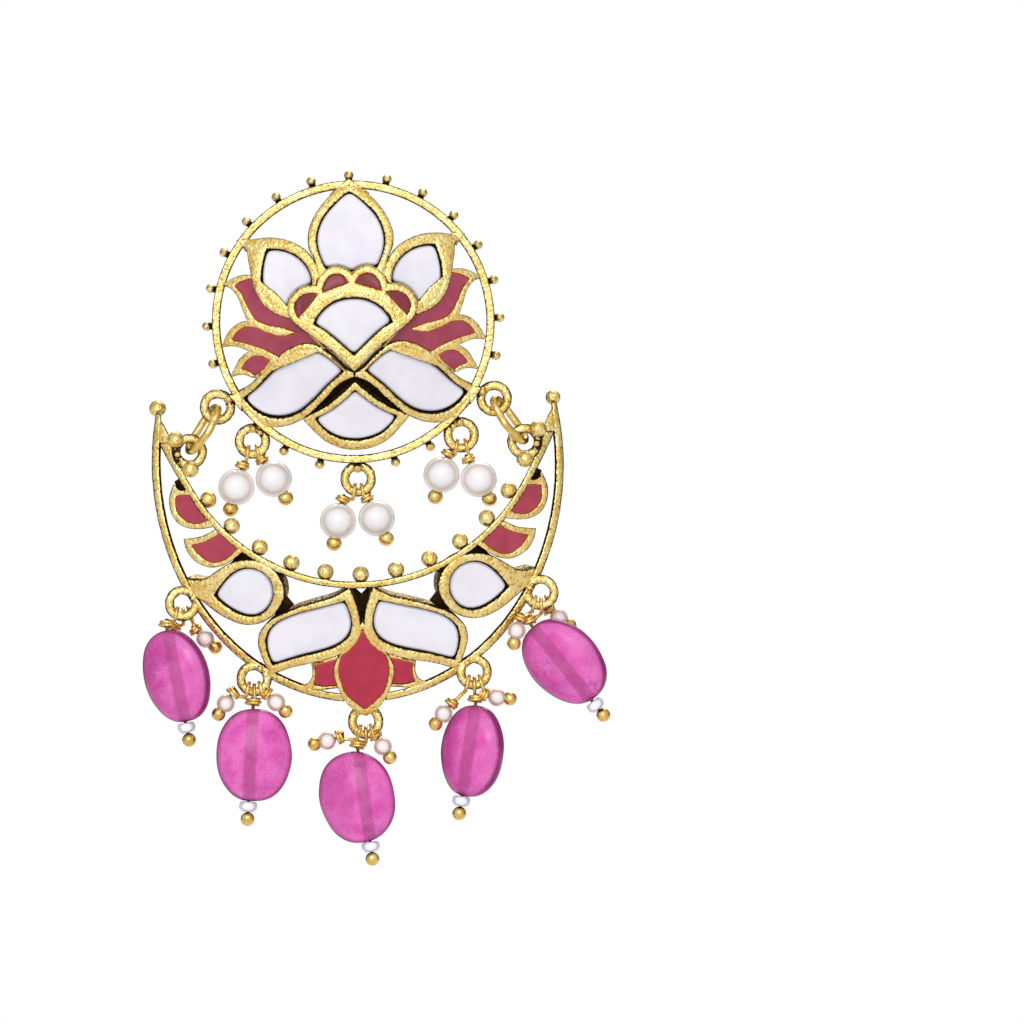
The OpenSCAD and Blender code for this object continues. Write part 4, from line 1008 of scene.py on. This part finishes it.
def cut_stone(name, node, opening, dome, base_r, table_r, body):
    """A stone that fills an opening. Its table is flat, square to the dome at its middle."""
    shell = Shell()
    snug = softened(inset(opening, 0.04))
    middle = sum(snug, Vector((0, 0))) / len(snug)
    face = ray(middle, dome.middle, dome.draw_r)

    def flat(points, r):
        directions = [ray(p, dome.middle, dome.draw_r) for p in points]
        return [dome.middle + d * (r / d.dot(face)) for d in directions]

    girdle_r = table_r - 0.2
    rows = [
        (0.0, base_r), (0.0, girdle_r - 0.08), (0.04, girdle_r), (0.16, table_r - 0.05),
        (0.24, table_r), (0.36, table_r + 0.01),
    ]
    rings = [flat(inset(snug, d) if d else snug, r) for d, r in rows]
    # Painted shade: dark walls and base in the cell, a half dark girdle and a faint dark line at
    # the table's edge.
    shell.rings(rings, [1.0, 1.0, 0.55, 0.1, 0.45, 0.0])
    points, triangles = fill(inset(snug, 0.36), (), 0.8)
    shell.add(flat(points, table_r + 0.01), triangles, 0.0)
    points, triangles = fill(snug, (), 1.5)
    shell.add(flat(points, base_r), triangles, 1.0)
    placed(name, shell, stone_glass, node, body)


stone_floor = FLOOR_T + gap
petal_levels = (lotus_back + stone_floor, lotus_r - 0.45)
leaf_levels = (lotus_back + stone_floor, lotus_r - 0.9)
cell_levels = (crescent_r - cell_wall + stone_floor, crescent_r - 0.45)
for name, node, rows, dome, levels in (
    ("top_petal_stone", "stone_top", TOP_OPENING, lotus, petal_levels),
    ("base_petal_stone", "stone_base", BASE_OPENING, lotus, petal_levels),
    ("cup_stone", "stone_fan", FAN_OPENING, cup, (lotus_r - 0.74, cup_r - 0.75)),
):
    cut_stone(name, node, drawn(rows), dome, *levels, "frame")
for side, hand in HANDS:
    for name, node, rows, dome, levels, body in (
        ("side_petal_stone", "stone_side", SIDE_OPENING, lotus, petal_levels, "frame"),
        ("leaf_stone", "stone_leaf", LEAF_OPENING, lotus, leaf_levels, "frame"),
        ("teardrop_stone", "stone_drop", DROP_OPENING, crescent, cell_levels, "crescent"),
        ("wing_stone", "stone_wing", WING_OPENING, crescent, cell_levels, "crescent"),
    ):
        cut_stone(f"{name}_{hand}", f"{node}_{hand}", drawn(rows, side), dome, *levels, body)

# %% [markdown]
# ## Enamel
# Enamel is poured as powder and melted, so it sags slightly in the middle and climbs the walls.
# The points near the wall carry a mark that gives them the warmer edge colour.


# %% Enamel in a cell
def enamel_sheet(shell, opening, dome, r):
    """Adds the enamel of one opening in a plate whose face is at r."""
    snug = inset(opening, 0.03)
    border = tree_of(snug)
    top = r - enamel_drop
    points, triangles = fill(snug, (), 0.3)
    distances = [border.find((p.x, p.y, 0))[2] for p in points]
    shell.add([dome.at(p, top - 0.09 * min(1, d / 0.7) + swell(p, 0.05))
               for p, d in zip(points, distances)],
              triangles, [max(0.0, 1 - d / 0.2) for d in distances])
    shell.rings([[dome.at(p, top + swell(p, 0.05)) for p in snug],
                 [dome.at(p, top - enamel_t) for p in snug]], 1.0)
    points, triangles = fill(snug, (), 1.5)
    shell.add([dome.at(p, top - enamel_t) for p in points], triangles, 1.0)


def enamel_piece(name, node, body, material, openings, dome, r):
    shell = Shell()
    for opening in openings:
        enamel_sheet(shell, opening, dome, r)
    placed(name, shell, material, node, body)


enamel_piece("scallop_enamel", "enamel_scallops", "frame", enamel_crimson, scallops, cup, cup_r)
bud_openings = [drawn(BUD_ENAMEL), *(drawn(BUD_SIDE_ENAMEL, side) for side in (-1, 1))]
enamel_piece("bud_enamel", "enamel_bud", "crescent", enamel_red, bud_openings, crescent,
             crescent_r)
for side, hand in HANDS:
    enamel_piece(f"arm_enamel_{hand}", f"enamel_arms_{hand}", "frame", enamel_plum,
                 [drawn(rows, side) for rows in (ARMS_ENAMEL, THIRD_ENAMEL)], lotus,
                 lotus_r - 0.08)
    enamel_piece(f"tip_enamel_{hand}", f"enamel_tips_{hand}", "crescent", enamel_rose,
                 [drawn(rows, side) for rows in (FIRST_TIP_ENAMEL, SECOND_TIP_ENAMEL)],
                 straight_crescent, crescent_r)

# %% [markdown]
# ## The crescent
# Two bands meet in horns at the sides. Between them stand walled cells with a teardrop and a wing
# on each side, enamelled tips, and a bud in the middle. Balls run under the inner band.

# %% Bands of the crescent
side_z, arc_z = -21.0, -12.9
inner_band_r, inner_band_w = 22.1, 0.8
crescent_a, crescent_b, outer_band_w = 23.7, 27.5, 0.9
BAND_STEPS = 150
# The outer band stops in the side walls of the bud, so that it doesn't cross its enamel
BUD_STOP = 5.7
BEND_FROM, BEND_OVER = 58, 19
NECK = Vector((22.9, -16.5))


def arc(a, b, z, start, end):
    for k in range(BAND_STEPS + 1):
        t = math.radians(start + (end - start) * k / BAND_STEPS)
        yield Vector((a * math.sin(t), z - b * math.cos(t)))


def band(a, b, z, start, end, w):
    """A curved strip of width w, from start to end, in degrees from straight down."""
    return hand_drawn([*arc(a, b, z, start, end), *[*arc(a - w, b - w, z, start, end)][::-1]])


crescent_back, cell_back = crescent_r - crescent_wall, crescent_r - cell_wall
band_back = crescent_r - band_depth
outer_edge = inner_band_r + inner_band_w / 2
bands = Shell()
inner_strip = []
for p in band(outer_edge, outer_edge, arc_z, -77, 77, inner_band_w):
    # Near the horns the inner band bends outwards to meet the outer one
    away = p - Vector((0, arc_z))
    past = max(0.0, abs(math.degrees(math.atan2(away.x, -away.y))) - BEND_FROM) / BEND_OVER
    bend = 0.8 if away.length > inner_band_r else 0.35
    inner_strip.append(p + away.normalized() * bend * past * past)
plate(bands, inner_strip, [], straight_crescent, band_back, crescent_r + 0.03)
outer_half = band(crescent_a, crescent_b, side_z, BUD_STOP, 103.6, outer_band_w)
for p in outer_half:
    # Under the ball of the horn the band gets narrower
    if p.y > NECK.y and p.x < NECK.x:
        p.x += 0.17 * (p.y - NECK.y)
# A thin dark strip sunk just inside the outer band: painted shade along its inner edge.
line_inset = outer_band_w - 0.06
inner_shade_line = band(crescent_a - line_inset, crescent_b - line_inset, side_z, BUD_STOP + 10, 99, 0.2)
for side in (-1, 1):
    plate(bands, on_side(outer_half, side), [], straight_crescent, band_back, crescent_r - 0.03)
    plate(bands, on_side(inner_shade_line, side), [], straight_crescent, band_back + 0.1,
          crescent_r - 0.3, edge=0.02, face=0.95)
cast("crescent_bands", bands, "crescent")

# %% Cells of the crescent
cells, tips = Shell(), Shell()
cell_enamelled = {"floor_r": crescent_r - enamel_floor, **ENAMELLED}
# A dark plate behind the wing slot, and dark webs between the cells: painted shade where only
# shadow shows.
shade_web_levels = (crescent_r - 1.6, crescent_r - 1.1)
cell(cells, WING_SHADE_BACK, [], 0, crescent, crescent_back, crescent_back + BACK_PLATE_T, face=1.0)
for side in (-1, 1):
    cell(cells, DROP_CELL, [DROP_OPENING], side, crescent, cell_back, crescent_r - 0.02)
    cell(cells, WING_CELL, [WING_OPENING], side, crescent, cell_back, crescent_r + 0.05)
    for rows, dome in ((DROP_SHADE_WEB, crescent), (WING_SHADE_WEB, crescent), (TIP_SHADE_WEB, straight_crescent),
                       (LOOP_SHADE_WEB, straight_crescent)):
        cell(cells, rows, [], side, dome, *shade_web_levels, face=1.0)
    for rows, opening, lower in ((FIRST_TIP, FIRST_TIP_ENAMEL, 0.05),
                                 (SECOND_TIP, SECOND_TIP_ENAMEL, 0.07),
                                 (BUD_SIDE, BUD_SIDE_ENAMEL, 0.06)):
        cell(tips, rows, [opening], side, straight_crescent, crescent_back, crescent_r - lower,
             **cell_enamelled)
    cell(tips, HORN, [], side, straight_crescent, band_back, crescent_r - 0.03)
cell(tips, BUD, [BUD_ENAMEL], 0, crescent, crescent_back, crescent_r + 0.02, **cell_enamelled)
cast("crescent_cells", cells, "crescent")
cast("crescent_tips", tips, "crescent")

# %% Balls along the inner band, and one on each horn
crescent_ball_r, BALL_PITCH = 0.95, 11.15
END_OUT, END_DOWN, STALK_FORWARD = 0.38, 0.45, 0.45
HORN_PLACES, right_horn_ball_r = [Vector((22.7, -14.1)), Vector((-22.85, -14.0))], 0.86
ball_arc_r = inner_band_r - inner_band_w / 2 - crescent_ball_r + 0.15
balls_shell = Shell()
ball_places = []
for k in range(-7, 8):
    a = math.radians(k * BALL_PITCH)
    ball_places.append(Vector((ball_arc_r * math.sin(a), arc_z - ball_arc_r * math.cos(a))))
ball_places[0] += Vector((-END_OUT, -END_DOWN))
ball_places[14] += Vector((END_OUT, -END_DOWN))
for k, place in enumerate([*ball_places, *HORN_PLACES]):
    r = crescent_ball_r if k != 15 else right_horn_ball_r
    middle = straight_crescent.at(place, crescent_r - r)
    if k in (0, 1, 13, 14):
        # The two nearest each side loop stand in front of it, on short stalks
        back = middle.copy()
        middle.y = hang_y - STALK_FORWARD
        outwards = Vector((place.x, 0, place.y - arc_z)).normalized()
        # The stalks are painted dark: painted shade behind the balls.
        wire(balls_shell, [back + outwards * 0.5, (back + middle) / 2 + outwards * 0.4, middle],
             [0.6, 0.5, 0.4], 14, tarnish_and_shade=lambda p: 1.0)
    up = ray(place, crescent_middle, crescent_r)
    # Each ball darkens towards its back: painted shadow at its base.
    ball(balls_shell, middle, r, rows=16, sides=24, rough=0.04,
         tarnish_and_shade=lambda p: max(0.0, min(0.6, 0.5 - (p - middle).dot(up) / r)))
cast("crescent_balls", balls_shell, "crescent")


# %% Loops of the crescent
def crescent_loop_y(x, z):
    """Loops lie in the band's depth where they meet it; the bud's loop lies behind its enamel."""
    place = Vector((x, z))
    meet = place - (place - Vector((0, crescent_z))).normalized() * loop_r
    depth = 1.45 if x == 0 else band_depth / 2
    return crescent.at(meet, crescent_r - depth).y


LOWER_LOOPS = [(12.65, -45.4), (20.6, -36.5)]
BUD_LOOP = (0.0, -50.7)
loops_shell = Shell()
for side in (-1, 1):
    cast_loop(loops_shell, side * side_loop.x, side_loop.y, hang_y, (side * 24, -20), 1.8)
    for x, z in LOWER_LOOPS:
        cast_loop(loops_shell, side * x, z, crescent_loop_y(x, z), (0, crescent_z))
cast_loop(loops_shell, *BUD_LOOP, crescent_loop_y(*BUD_LOOP), (0, crescent_z))
cast("crescent_loops", loops_shell, "crescent")

# %% [markdown]
# ## Links
# A link is one closed wire with two straight sides and two round ends. It passes through both
# loops, and is turned a little about its own length, as links hang.

# %% Two wire links
link_end_r, link_wire_r, link_turn, link_bow = 1.4, 0.44, math.radians(-20), 0.5
link_top_loop = Vector(UPPER_LOOPS[0])
link_dir = (side_loop - link_top_loop).normalized()
link_top = link_top_loop + link_dir * loop_r
link_bottom = side_loop - link_dir * loop_r
link_length = (link_bottom - link_top).length
END_STEPS, SIDE_STEPS = 16, 12


def link_line():
    """Across and along, for each point of the closed wire. One of its sides is bowed."""
    for end, base in ((0, link_length), (1, 0.0)):
        for k in range(END_STEPS + 1):
            a = math.pi * (k / END_STEPS + end)
            yield link_end_r * math.cos(a), base + link_end_r * math.sin(a)
        for k in range(1, SIDE_STEPS):
            if end:
                t = k / SIDE_STEPS
                yield link_end_r + link_bow * math.sin(math.pi * t), link_length * t
            else:
                yield -link_end_r, link_length * (1 - k / SIDE_STEPS)


slant = Matrix.Rotation(-math.atan2(link_dir.x, -link_dir.y), 3, "Y")
for side, hand in HANDS:
    path = []
    for u, v in link_line():
        p = slant @ Vector((u * math.sin(link_turn), -u * math.cos(link_turn), v))
        p += Vector((link_bottom.x, hang_y, link_bottom.y))
        path.append(Vector((side * p.x, p.y, p.z)))
    # The wire is painted a little darker towards its back: painted shade.
    shell = wire(Shell(), path, link_wire_r, 18, closed=True, rough=0.03,
                 tarnish_and_shade=lambda p: 0.1 + 0.2 * (p.y - hang_y))
    placed(f"wire_link_{hand}", shell, gold_wire, f"link_{hand}", "links")

# %% [markdown]
# ## Pearls on head pins
# A head pin is one piece of wire with a ball end. It goes up through the pearl, is wound two turns
# on top, and ends in an eye round the loop. The pearl is a slightly uneven ball.

# %% Tables of the drops: place, direction, how far forward, and the eye's place
PEARLS = [
    ((-14, -23.35), (-14.85, -26.15), 0.25, -0.6), ((-9.7, -22.5), (-8.3, -24.9), -0.25, 0.6),
    ((-2.45, -27.6), (-3.05, -30.4), 0.2, -0.5), ((2, -27.4), (3.1, -29.95), -0.2, 0.5),
    ((9.6, -22.65), (8.75, -25.3), -0.2, -0.6), ((13.85, -23.25), (15.1, -25.75), 0.2, 0.6),
]
SEED_PAIRS = [
    [((-18.15, -40.65), (-17, -41.65), -1.2, 0.8), ((-22.1, -40.7), (-22.5, -42.3), -3.5, 0)],
    [((-16, -48.15), (-17.1, -49.7), 0.6, -0.8), ((-10.2, -48.2), (-9.2, -49.2), 0.6, 0.8)],
    [((-4.5, -52.8), (-6.2, -53.2), 0.6, -0.8), ((1.9, -53.65), (2.8, -55.15), 1, 0.8)],
    [((9, -50.1), (7.9, -51.4), 0.6, -0.8), ((15.2, -48.4), (16.7, -48.6), 0.6, 0.8)],
    [((17.7, -40.8), (17.3, -42.4), 1.1, -0.8), ((22.6, -39.5), (23.8, -40.4), -2, 0.8)],
]
# Where the pin meets the bead, its ball, the bead's two ends, the bead's turn and the eye's place
BEADS = [
    ((-22.5, -39.25), (-20.35, -52.2), (-22.9, -39.5), (-20.2, -50.2), 36, -0.8),
    ((-12.85, -48.5), (-13.9, -61.5), (-12.8, -48.7), (-13.1, -59.6), 0, 0),
    ((-1, -53.8), (0.3, -66.55), (-2.3, -54.1), (-0.2, -64.7), 6, 0),
    ((12.75, -48.9), (10.45, -61.6), (12.85, -49.1), (11.5, -59.9), 41, 0),
    ((19.3, -40.1), (27.35, -50.8), (19.3, -40.4), (26.8, -48.6), 27, 0),
]
pearl_r, seed_r, pin_r, turns_h, eye_r = 2.1, 1.05, 0.21, 0.4, 0.88
pearl_ball_r, small_ball_r = 0.88, 0.81
eye_drop = eye_r - pin_r - loop_wire_r - 0.12
BACK = Vector((0, 1, 0))

# %% A head pin with its eye, its turns and its ball
COIL_TURNS, COIL_PITCH, COIL_STEPS = 2.2, 0.34, 72


def head_pin(shell, loop, y, shift, seat, end, end_r, coil_r, snug_by):
    """Adds an eye on the loop, the neck, the turns above seat, the wire to end and its ball.

    The eye hangs shift millimetres beside the lowest point of the loop.
    """
    lean = math.asin(shift / loop_r) / 2
    down = Vector((math.sin(lean), 0, -math.cos(lean)))
    low = Vector((loop[0] + shift, y, loop[1] - math.sqrt(loop_r**2 - shift**2)))
    eye = low + down * eye_drop
    up = (seat - end).normalized()
    wire(shell, circle_path(eye, down, BACK, eye_r, 40), pin_r, 12, closed=True, rough=0.015)
    neck_end = seat + up * turns_h / 2
    wire(shell, [eye + down * (eye_r - 0.05), (eye + down * eye_r + neck_end) / 2, neck_end],
         pin_r, 12)
    coil_up = (up * 2 + (eye - neck_end).normalized()).normalized()
    out = coil_up.orthogonal().normalized()
    side = coil_up.cross(out)
    coil = []
    for k in range(COIL_STEPS):
        part = k / (COIL_STEPS - 1)
        a = 2 * math.pi * COIL_TURNS * part
        r = coil_r * (1 - 0.3 * part)
        coil.append(seat + coil_up * (COIL_PITCH * COIL_TURNS * part + 0.12)
                    + r * (math.cos(a) * out + math.sin(a) * side))
    # The coil is painted dark on its inner side: painted shade inside the turns.
    wire(shell, coil, pin_r - 0.02, 12,
         tarnish_and_shade=lambda p: 1.2 * (0.75 * coil_r - (p - seat).cross(coil_up).length) / 0.2)
    wire(shell, [neck_end, end - up * 0.1], pin_r - 0.01, 12)
    nestled = end + up * snug_by
    # The ball end is painted dark on its side towards the bead or pearl: painted shadow where it
    # nestles.
    ball(shell, nestled, end_r - 0.01, axis=up, rough=0.03, rows=14, sides=22,
         tarnish_and_shade=lambda p: 1.1 * max(0.0, (p - nestled).dot(up) / end_r - 0.15))


def hang_drop(pins, row, loop, y, r, end_r):
    """Adds the pin of one pearl, and returns the pearl's middle and its direction."""
    (x, z), towards, forward, shift = row
    middle = Vector((x, y - forward, z))
    down = (Vector((towards[0], middle.y, towards[1])) - middle).normalized()
    head_pin(pins, loop, y - forward, shift, middle - down * (r + 0.05),
             middle + down * (r + end_r), end_r, 0.72, 0.38)
    return middle, down


# %% Six large pearls
PEARL_LOOPS = [(-12.0, -18.1), BOTTOM_LOOP, (12.0, -18.1)]
for pair, hand in enumerate(("left", "middle", "right")):
    pins = Shell()
    for k in (2 * pair, 2 * pair + 1):
        middle, down = hang_drop(pins, PEARLS[k], PEARL_LOOPS[pair], hang_y, pearl_r,
                                 pearl_ball_r)
        shell = ball(Shell(), middle, pearl_r - 0.02, axis=down, rows=36, sides=48, rough=0.035)
        placed(f"large_pearl_{k + 1}", shell, pearl_large, f"pearl_{k + 1}", "frame")
    placed(f"pearl_wires_{hand}", pins, gold_wire, f"pearl_pins_{hand}", "frame")

# %% [markdown]
# ## Pink beads
# The pink beads are smooth flattened ovals, drilled along the pin and slightly see-through. The
# hole is cut with a boolean, so that the pin shows in it. Two small pearls hang beside each.

# %% Shape a bead and drill it
bead_w, bead_t = 8.9, 4.7
BEAD_ROWS, BEAD_SIDES = 52, 96


def drilled(piece, start, end, r):
    """Cuts a straight hole through a piece."""
    tool = mesh_piece("drill", wire(Shell(), [start, end], r, 20), bead_pink)
    cut = piece.modifiers.new("hole", "BOOLEAN")
    cut.object, cut.operation, cut.solver = tool, "DIFFERENCE", "EXACT"
    graph = bpy.context.evaluated_depsgraph_get()
    finished = bpy.data.meshes.new_from_object(piece.evaluated_get(graph))
    piece.modifiers.clear()
    piece.data = finished
    bpy.data.objects.remove(tool)


def oval_bead(name, top, end, turn):
    """A flattened oval bead from top to end, with blunt ends."""
    axis = (end - top).normalized()
    half = (end - top).length / 2
    place = (Matrix.Translation((top + end) / 2)
             @ Matrix.Rotation(math.atan2(axis.y, axis.x), 4, "Z")
             @ Matrix.Rotation(math.acos(axis.z), 4, "Y")
             @ Matrix.Rotation(math.radians(turn), 4, "Z"))
    rings = []
    for i in range(1, BEAD_ROWS):
        t = math.pi * i / BEAD_ROWS
        wide = math.sin(t)**0.86
        ring = []
        for a in angles(BEAD_SIDES):
            p = Vector((bead_w / 2 * wide * math.cos(a), bead_t / 2 * wide * math.sin(a),
                        half * -math.cos(t)))
            p *= 1 - 0.025 + 0.02 * noise.noise(p * 0.35 + top)
            ring.append(place @ p)
        rings.append(ring)
    return mesh_piece(name, Shell().rings(rings, capped=True), bead_pink), place, half


# %% Mark the strip over the hole, and how near a point is to the bead's thin edge
CHANNEL_HALF = 0.85


def mark_bead(piece, start, axis, place, half):
    channel, girdle = [], []
    into_bead = place.inverted()
    for v in piece.data.vertices:
        p = v.co / MM - start
        across = p - axis * p.dot(axis)
        channel.append(max(0.0, 1 - abs(across.x / abs(axis.z)) / CHANNEL_HALF))
        q = into_bead @ (v.co / MM)
        girdle.append(min(1.0, math.hypot(q.x / (bead_w / 2), q.z / half)))
    # The strip over the hole is painted darker, where the hole shows through the glass: painted
    # shade.
    piece.data.attributes["tarnish_and_shade"].data.foreach_set("value", channel)
    layer = piece.data.attributes.new("girdle", "FLOAT", "POINT")
    layer.data.foreach_set("value", girdle)


# %% Five pink beads with their pins, white beads and small pearls
BEAD_LOOPS = [(-20.6, -36.5), (-12.65, -45.4), BUD_LOOP, (12.65, -45.4), (20.6, -36.5)]
WHITE_SECTION = [(-0.6, 0.32), (-0.62, 0.72), (-0.52, 0.94), (-0.2, 1.04), (0.12, 1.02),
                 (0.4, 0.86), (0.55, 0.6), (0.53, 0.32)]
white_half, hole_r = 0.45, 0.36
for n, (row, loop, seed_rows) in enumerate(zip(BEADS, BEAD_LOOPS, SEED_PAIRS), 1):
    y = crescent_loop_y(*loop)
    seat, end, top, low = (Vector((x, y, z)) for x, z in row[:4])
    turn, eye_shift = row[4:]
    down = (end - seat).normalized()
    pins = Shell()
    head_pin(pins, loop, y, eye_shift, seat, end, small_ball_r, 0.88, 0.0)
    bead, bead_place, bead_half = oval_bead(f"pink_oval_{n}", top, low, turn)
    drilled(bead, seat - down * 2, end, hole_r)
    bead.data.shade_smooth()
    mark_bead(bead, seat, down, bead_place, bead_half)
    take_place(bead, f"pink_bead_{n}", "crescent")
    white_middle = end - down * (small_ball_r + white_half + 0.12)
    white = turned(Shell(), WHITE_SECTION, white_middle, down, 40, 0.0)
    seeds, seed_pins = Shell(), Shell()
    for seed_row in seed_rows:
        middle, seed_down = hang_drop(seed_pins, seed_row, loop, y, seed_r, small_ball_r)
        ball(seeds, middle, seed_r - 0.01, axis=seed_down, rows=24, sides=32, rough=0.04)
    for name, shell, material, node, slot in (
        ("white_bead_ring", white, bead_glass, "white_bead", "white_bead"),
        ("bead_wire", pins, gold_wire, "bead_pin", "gold"),
        ("small_pearls", seeds, pearl_seed, "seed_pearls", "pearl"),
        ("small_pearl_wires", seed_pins, gold_wire, "seed_pins", "gold"),
    ):
        placed(f"{name}_{n}", shell, material, f"{node}_{n}", "crescent")

# %% [markdown]
# ## Ear post and nut
# The CAD post and nut have the right shapes as they are, so they only get the turned gold finish.

# %% Gold for the post and the nut
for name in ("ear_post", "ear_nut"):
    materials = frame["nodes"][name].data.materials
    materials.clear()
    materials.append(gold_smooth)
    print(name, "is finished in", materials[0].name)

# %% [markdown]
# ## Stage, light and camera
# The earring hangs free, as it does when it is worn, over a plain pale floor. Jewellery is lit
# with large soft sources; metal also needs something darker to mirror, or it turns flat. The world
# is white where the camera sees it. The metal sees a soft grey that is brightest in front and
# above.


# %% Floor
def pale_floor():
    finish = Finish("pale_floor")
    grain = finish.noise(30)
    finish.set(Base_Color=finish.mix(grain, linear("#F6F6F6"), linear("#EDEDED")), Roughness=0.7)
    return finish.material


floor_size, floor_z = 900.0, -150.0
corners = [Vector((x * floor_size, y * floor_size, floor_z))
           for x, y in ((-1, -1), (1, -1), (1, 1), (-1, 1))]
floor = mesh_piece("floor", Shell().add(corners, [range(4)]), pale_floor())

# %% Light from the world
BRIGHTEST = (-0.05, -0.86, 0.42)
scene = bpy.context.scene
scene.view_settings.view_transform = "Standard"
scene.world = bpy.data.worlds.new("studio")
scene.world.use_nodes = True
studio = Nodes(scene.world.node_tree)
studio.tree.nodes.clear()
direction = studio.node("ShaderNodeTexCoord").outputs["Generated"]
towards = studio.node("ShaderNodeVectorMath", {0: direction, 1: BRIGHTEST},
                      operation="DOT_PRODUCT").outputs["Value"]
spread = studio.node("ShaderNodeMapRange", {"Value": towards, "From Min": -0.6, "From Max": 1.0})
shade = studio.node("ShaderNodeValToRGB", {"Fac": spread.outputs["Result"]})
for element, level in zip(shade.color_ramp.elements, (0.15, 1.0)):
    element.color = (level, level, level, 1)
lighting = studio.node("ShaderNodeBackground", {"Color": shade.outputs["Color"],
                                                "Strength": 1.03})
seen = studio.node("ShaderNodeBackground", {"Color": (1, 1, 1, 1), "Strength": 1.0})
camera_ray = studio.node("ShaderNodeLightPath").outputs["Is Camera Ray"]
choose = studio.node("ShaderNodeMixShader", {0: camera_ray, 1: lighting.outputs["Background"],
                                             2: seen.outputs["Background"]})
studio.node("ShaderNodeOutputWorld", {"Surface": choose.outputs["Shader"]})

# %% Soft boxes, aimed at the middle of the earring
AIM = Vector((0, 0, -0.027))


def soft_box(name, place, size, watts):
    light = bpy.data.lights.new(name, "AREA")
    light.size, light.energy = size, watts
    made = bpy.data.objects.new(name, light)
    made.location = place
    made.rotation_mode = "QUATERNION"
    made.rotation_quaternion = (AIM - Vector(place)).to_track_quat("-Z", "Y")
    scene.collection.objects.link(made)


soft_box("key", (-0.1, -0.93, 0.33), 0.4, 2.7)
soft_box("rim_light", (0.1, 0.5, 0.5), 0.4, 2.0)
print("soft boxes:", len(bpy.data.lights))

# %% Camera, square to the front, rolled a little as in the photograph
PICTURE_PX, PX_MM = 1024, 0.115
VIEW_X, VIEW_Z = 17.57, -27.15
roll = math.radians(1.75)
distance = 3.0
camera_data = bpy.data.cameras.new("camera")
camera_data.sensor_width = 36.0
camera_data.lens = camera_data.sensor_width * distance / (PICTURE_PX * PX_MM * MM)
camera_data.clip_start, camera_data.clip_end = 0.05, 20.0
camera = bpy.data.objects.new("camera", camera_data)
camera.matrix_world = Matrix((
    (math.cos(roll), math.sin(roll), 0, VIEW_X * MM),
    (0, 0, -1, -distance),
    (-math.sin(roll), math.cos(roll), 0, VIEW_Z * MM),
    (0, 0, 0, 1),
))
scene.collection.objects.link(camera)
scene.camera = camera
print("lens:", round(camera_data.lens, 1), "mm")

# %% Sizes, and the end
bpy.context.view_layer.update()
triangles = {o.name: sum(len(f.vertices) - 2 for f in o.data.polygons) for o in scene.objects
             if o.type == "MESH" and "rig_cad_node" not in o}
print("triangles:", sum(triangles.values()), "most in one piece:", max(triangles.values()))
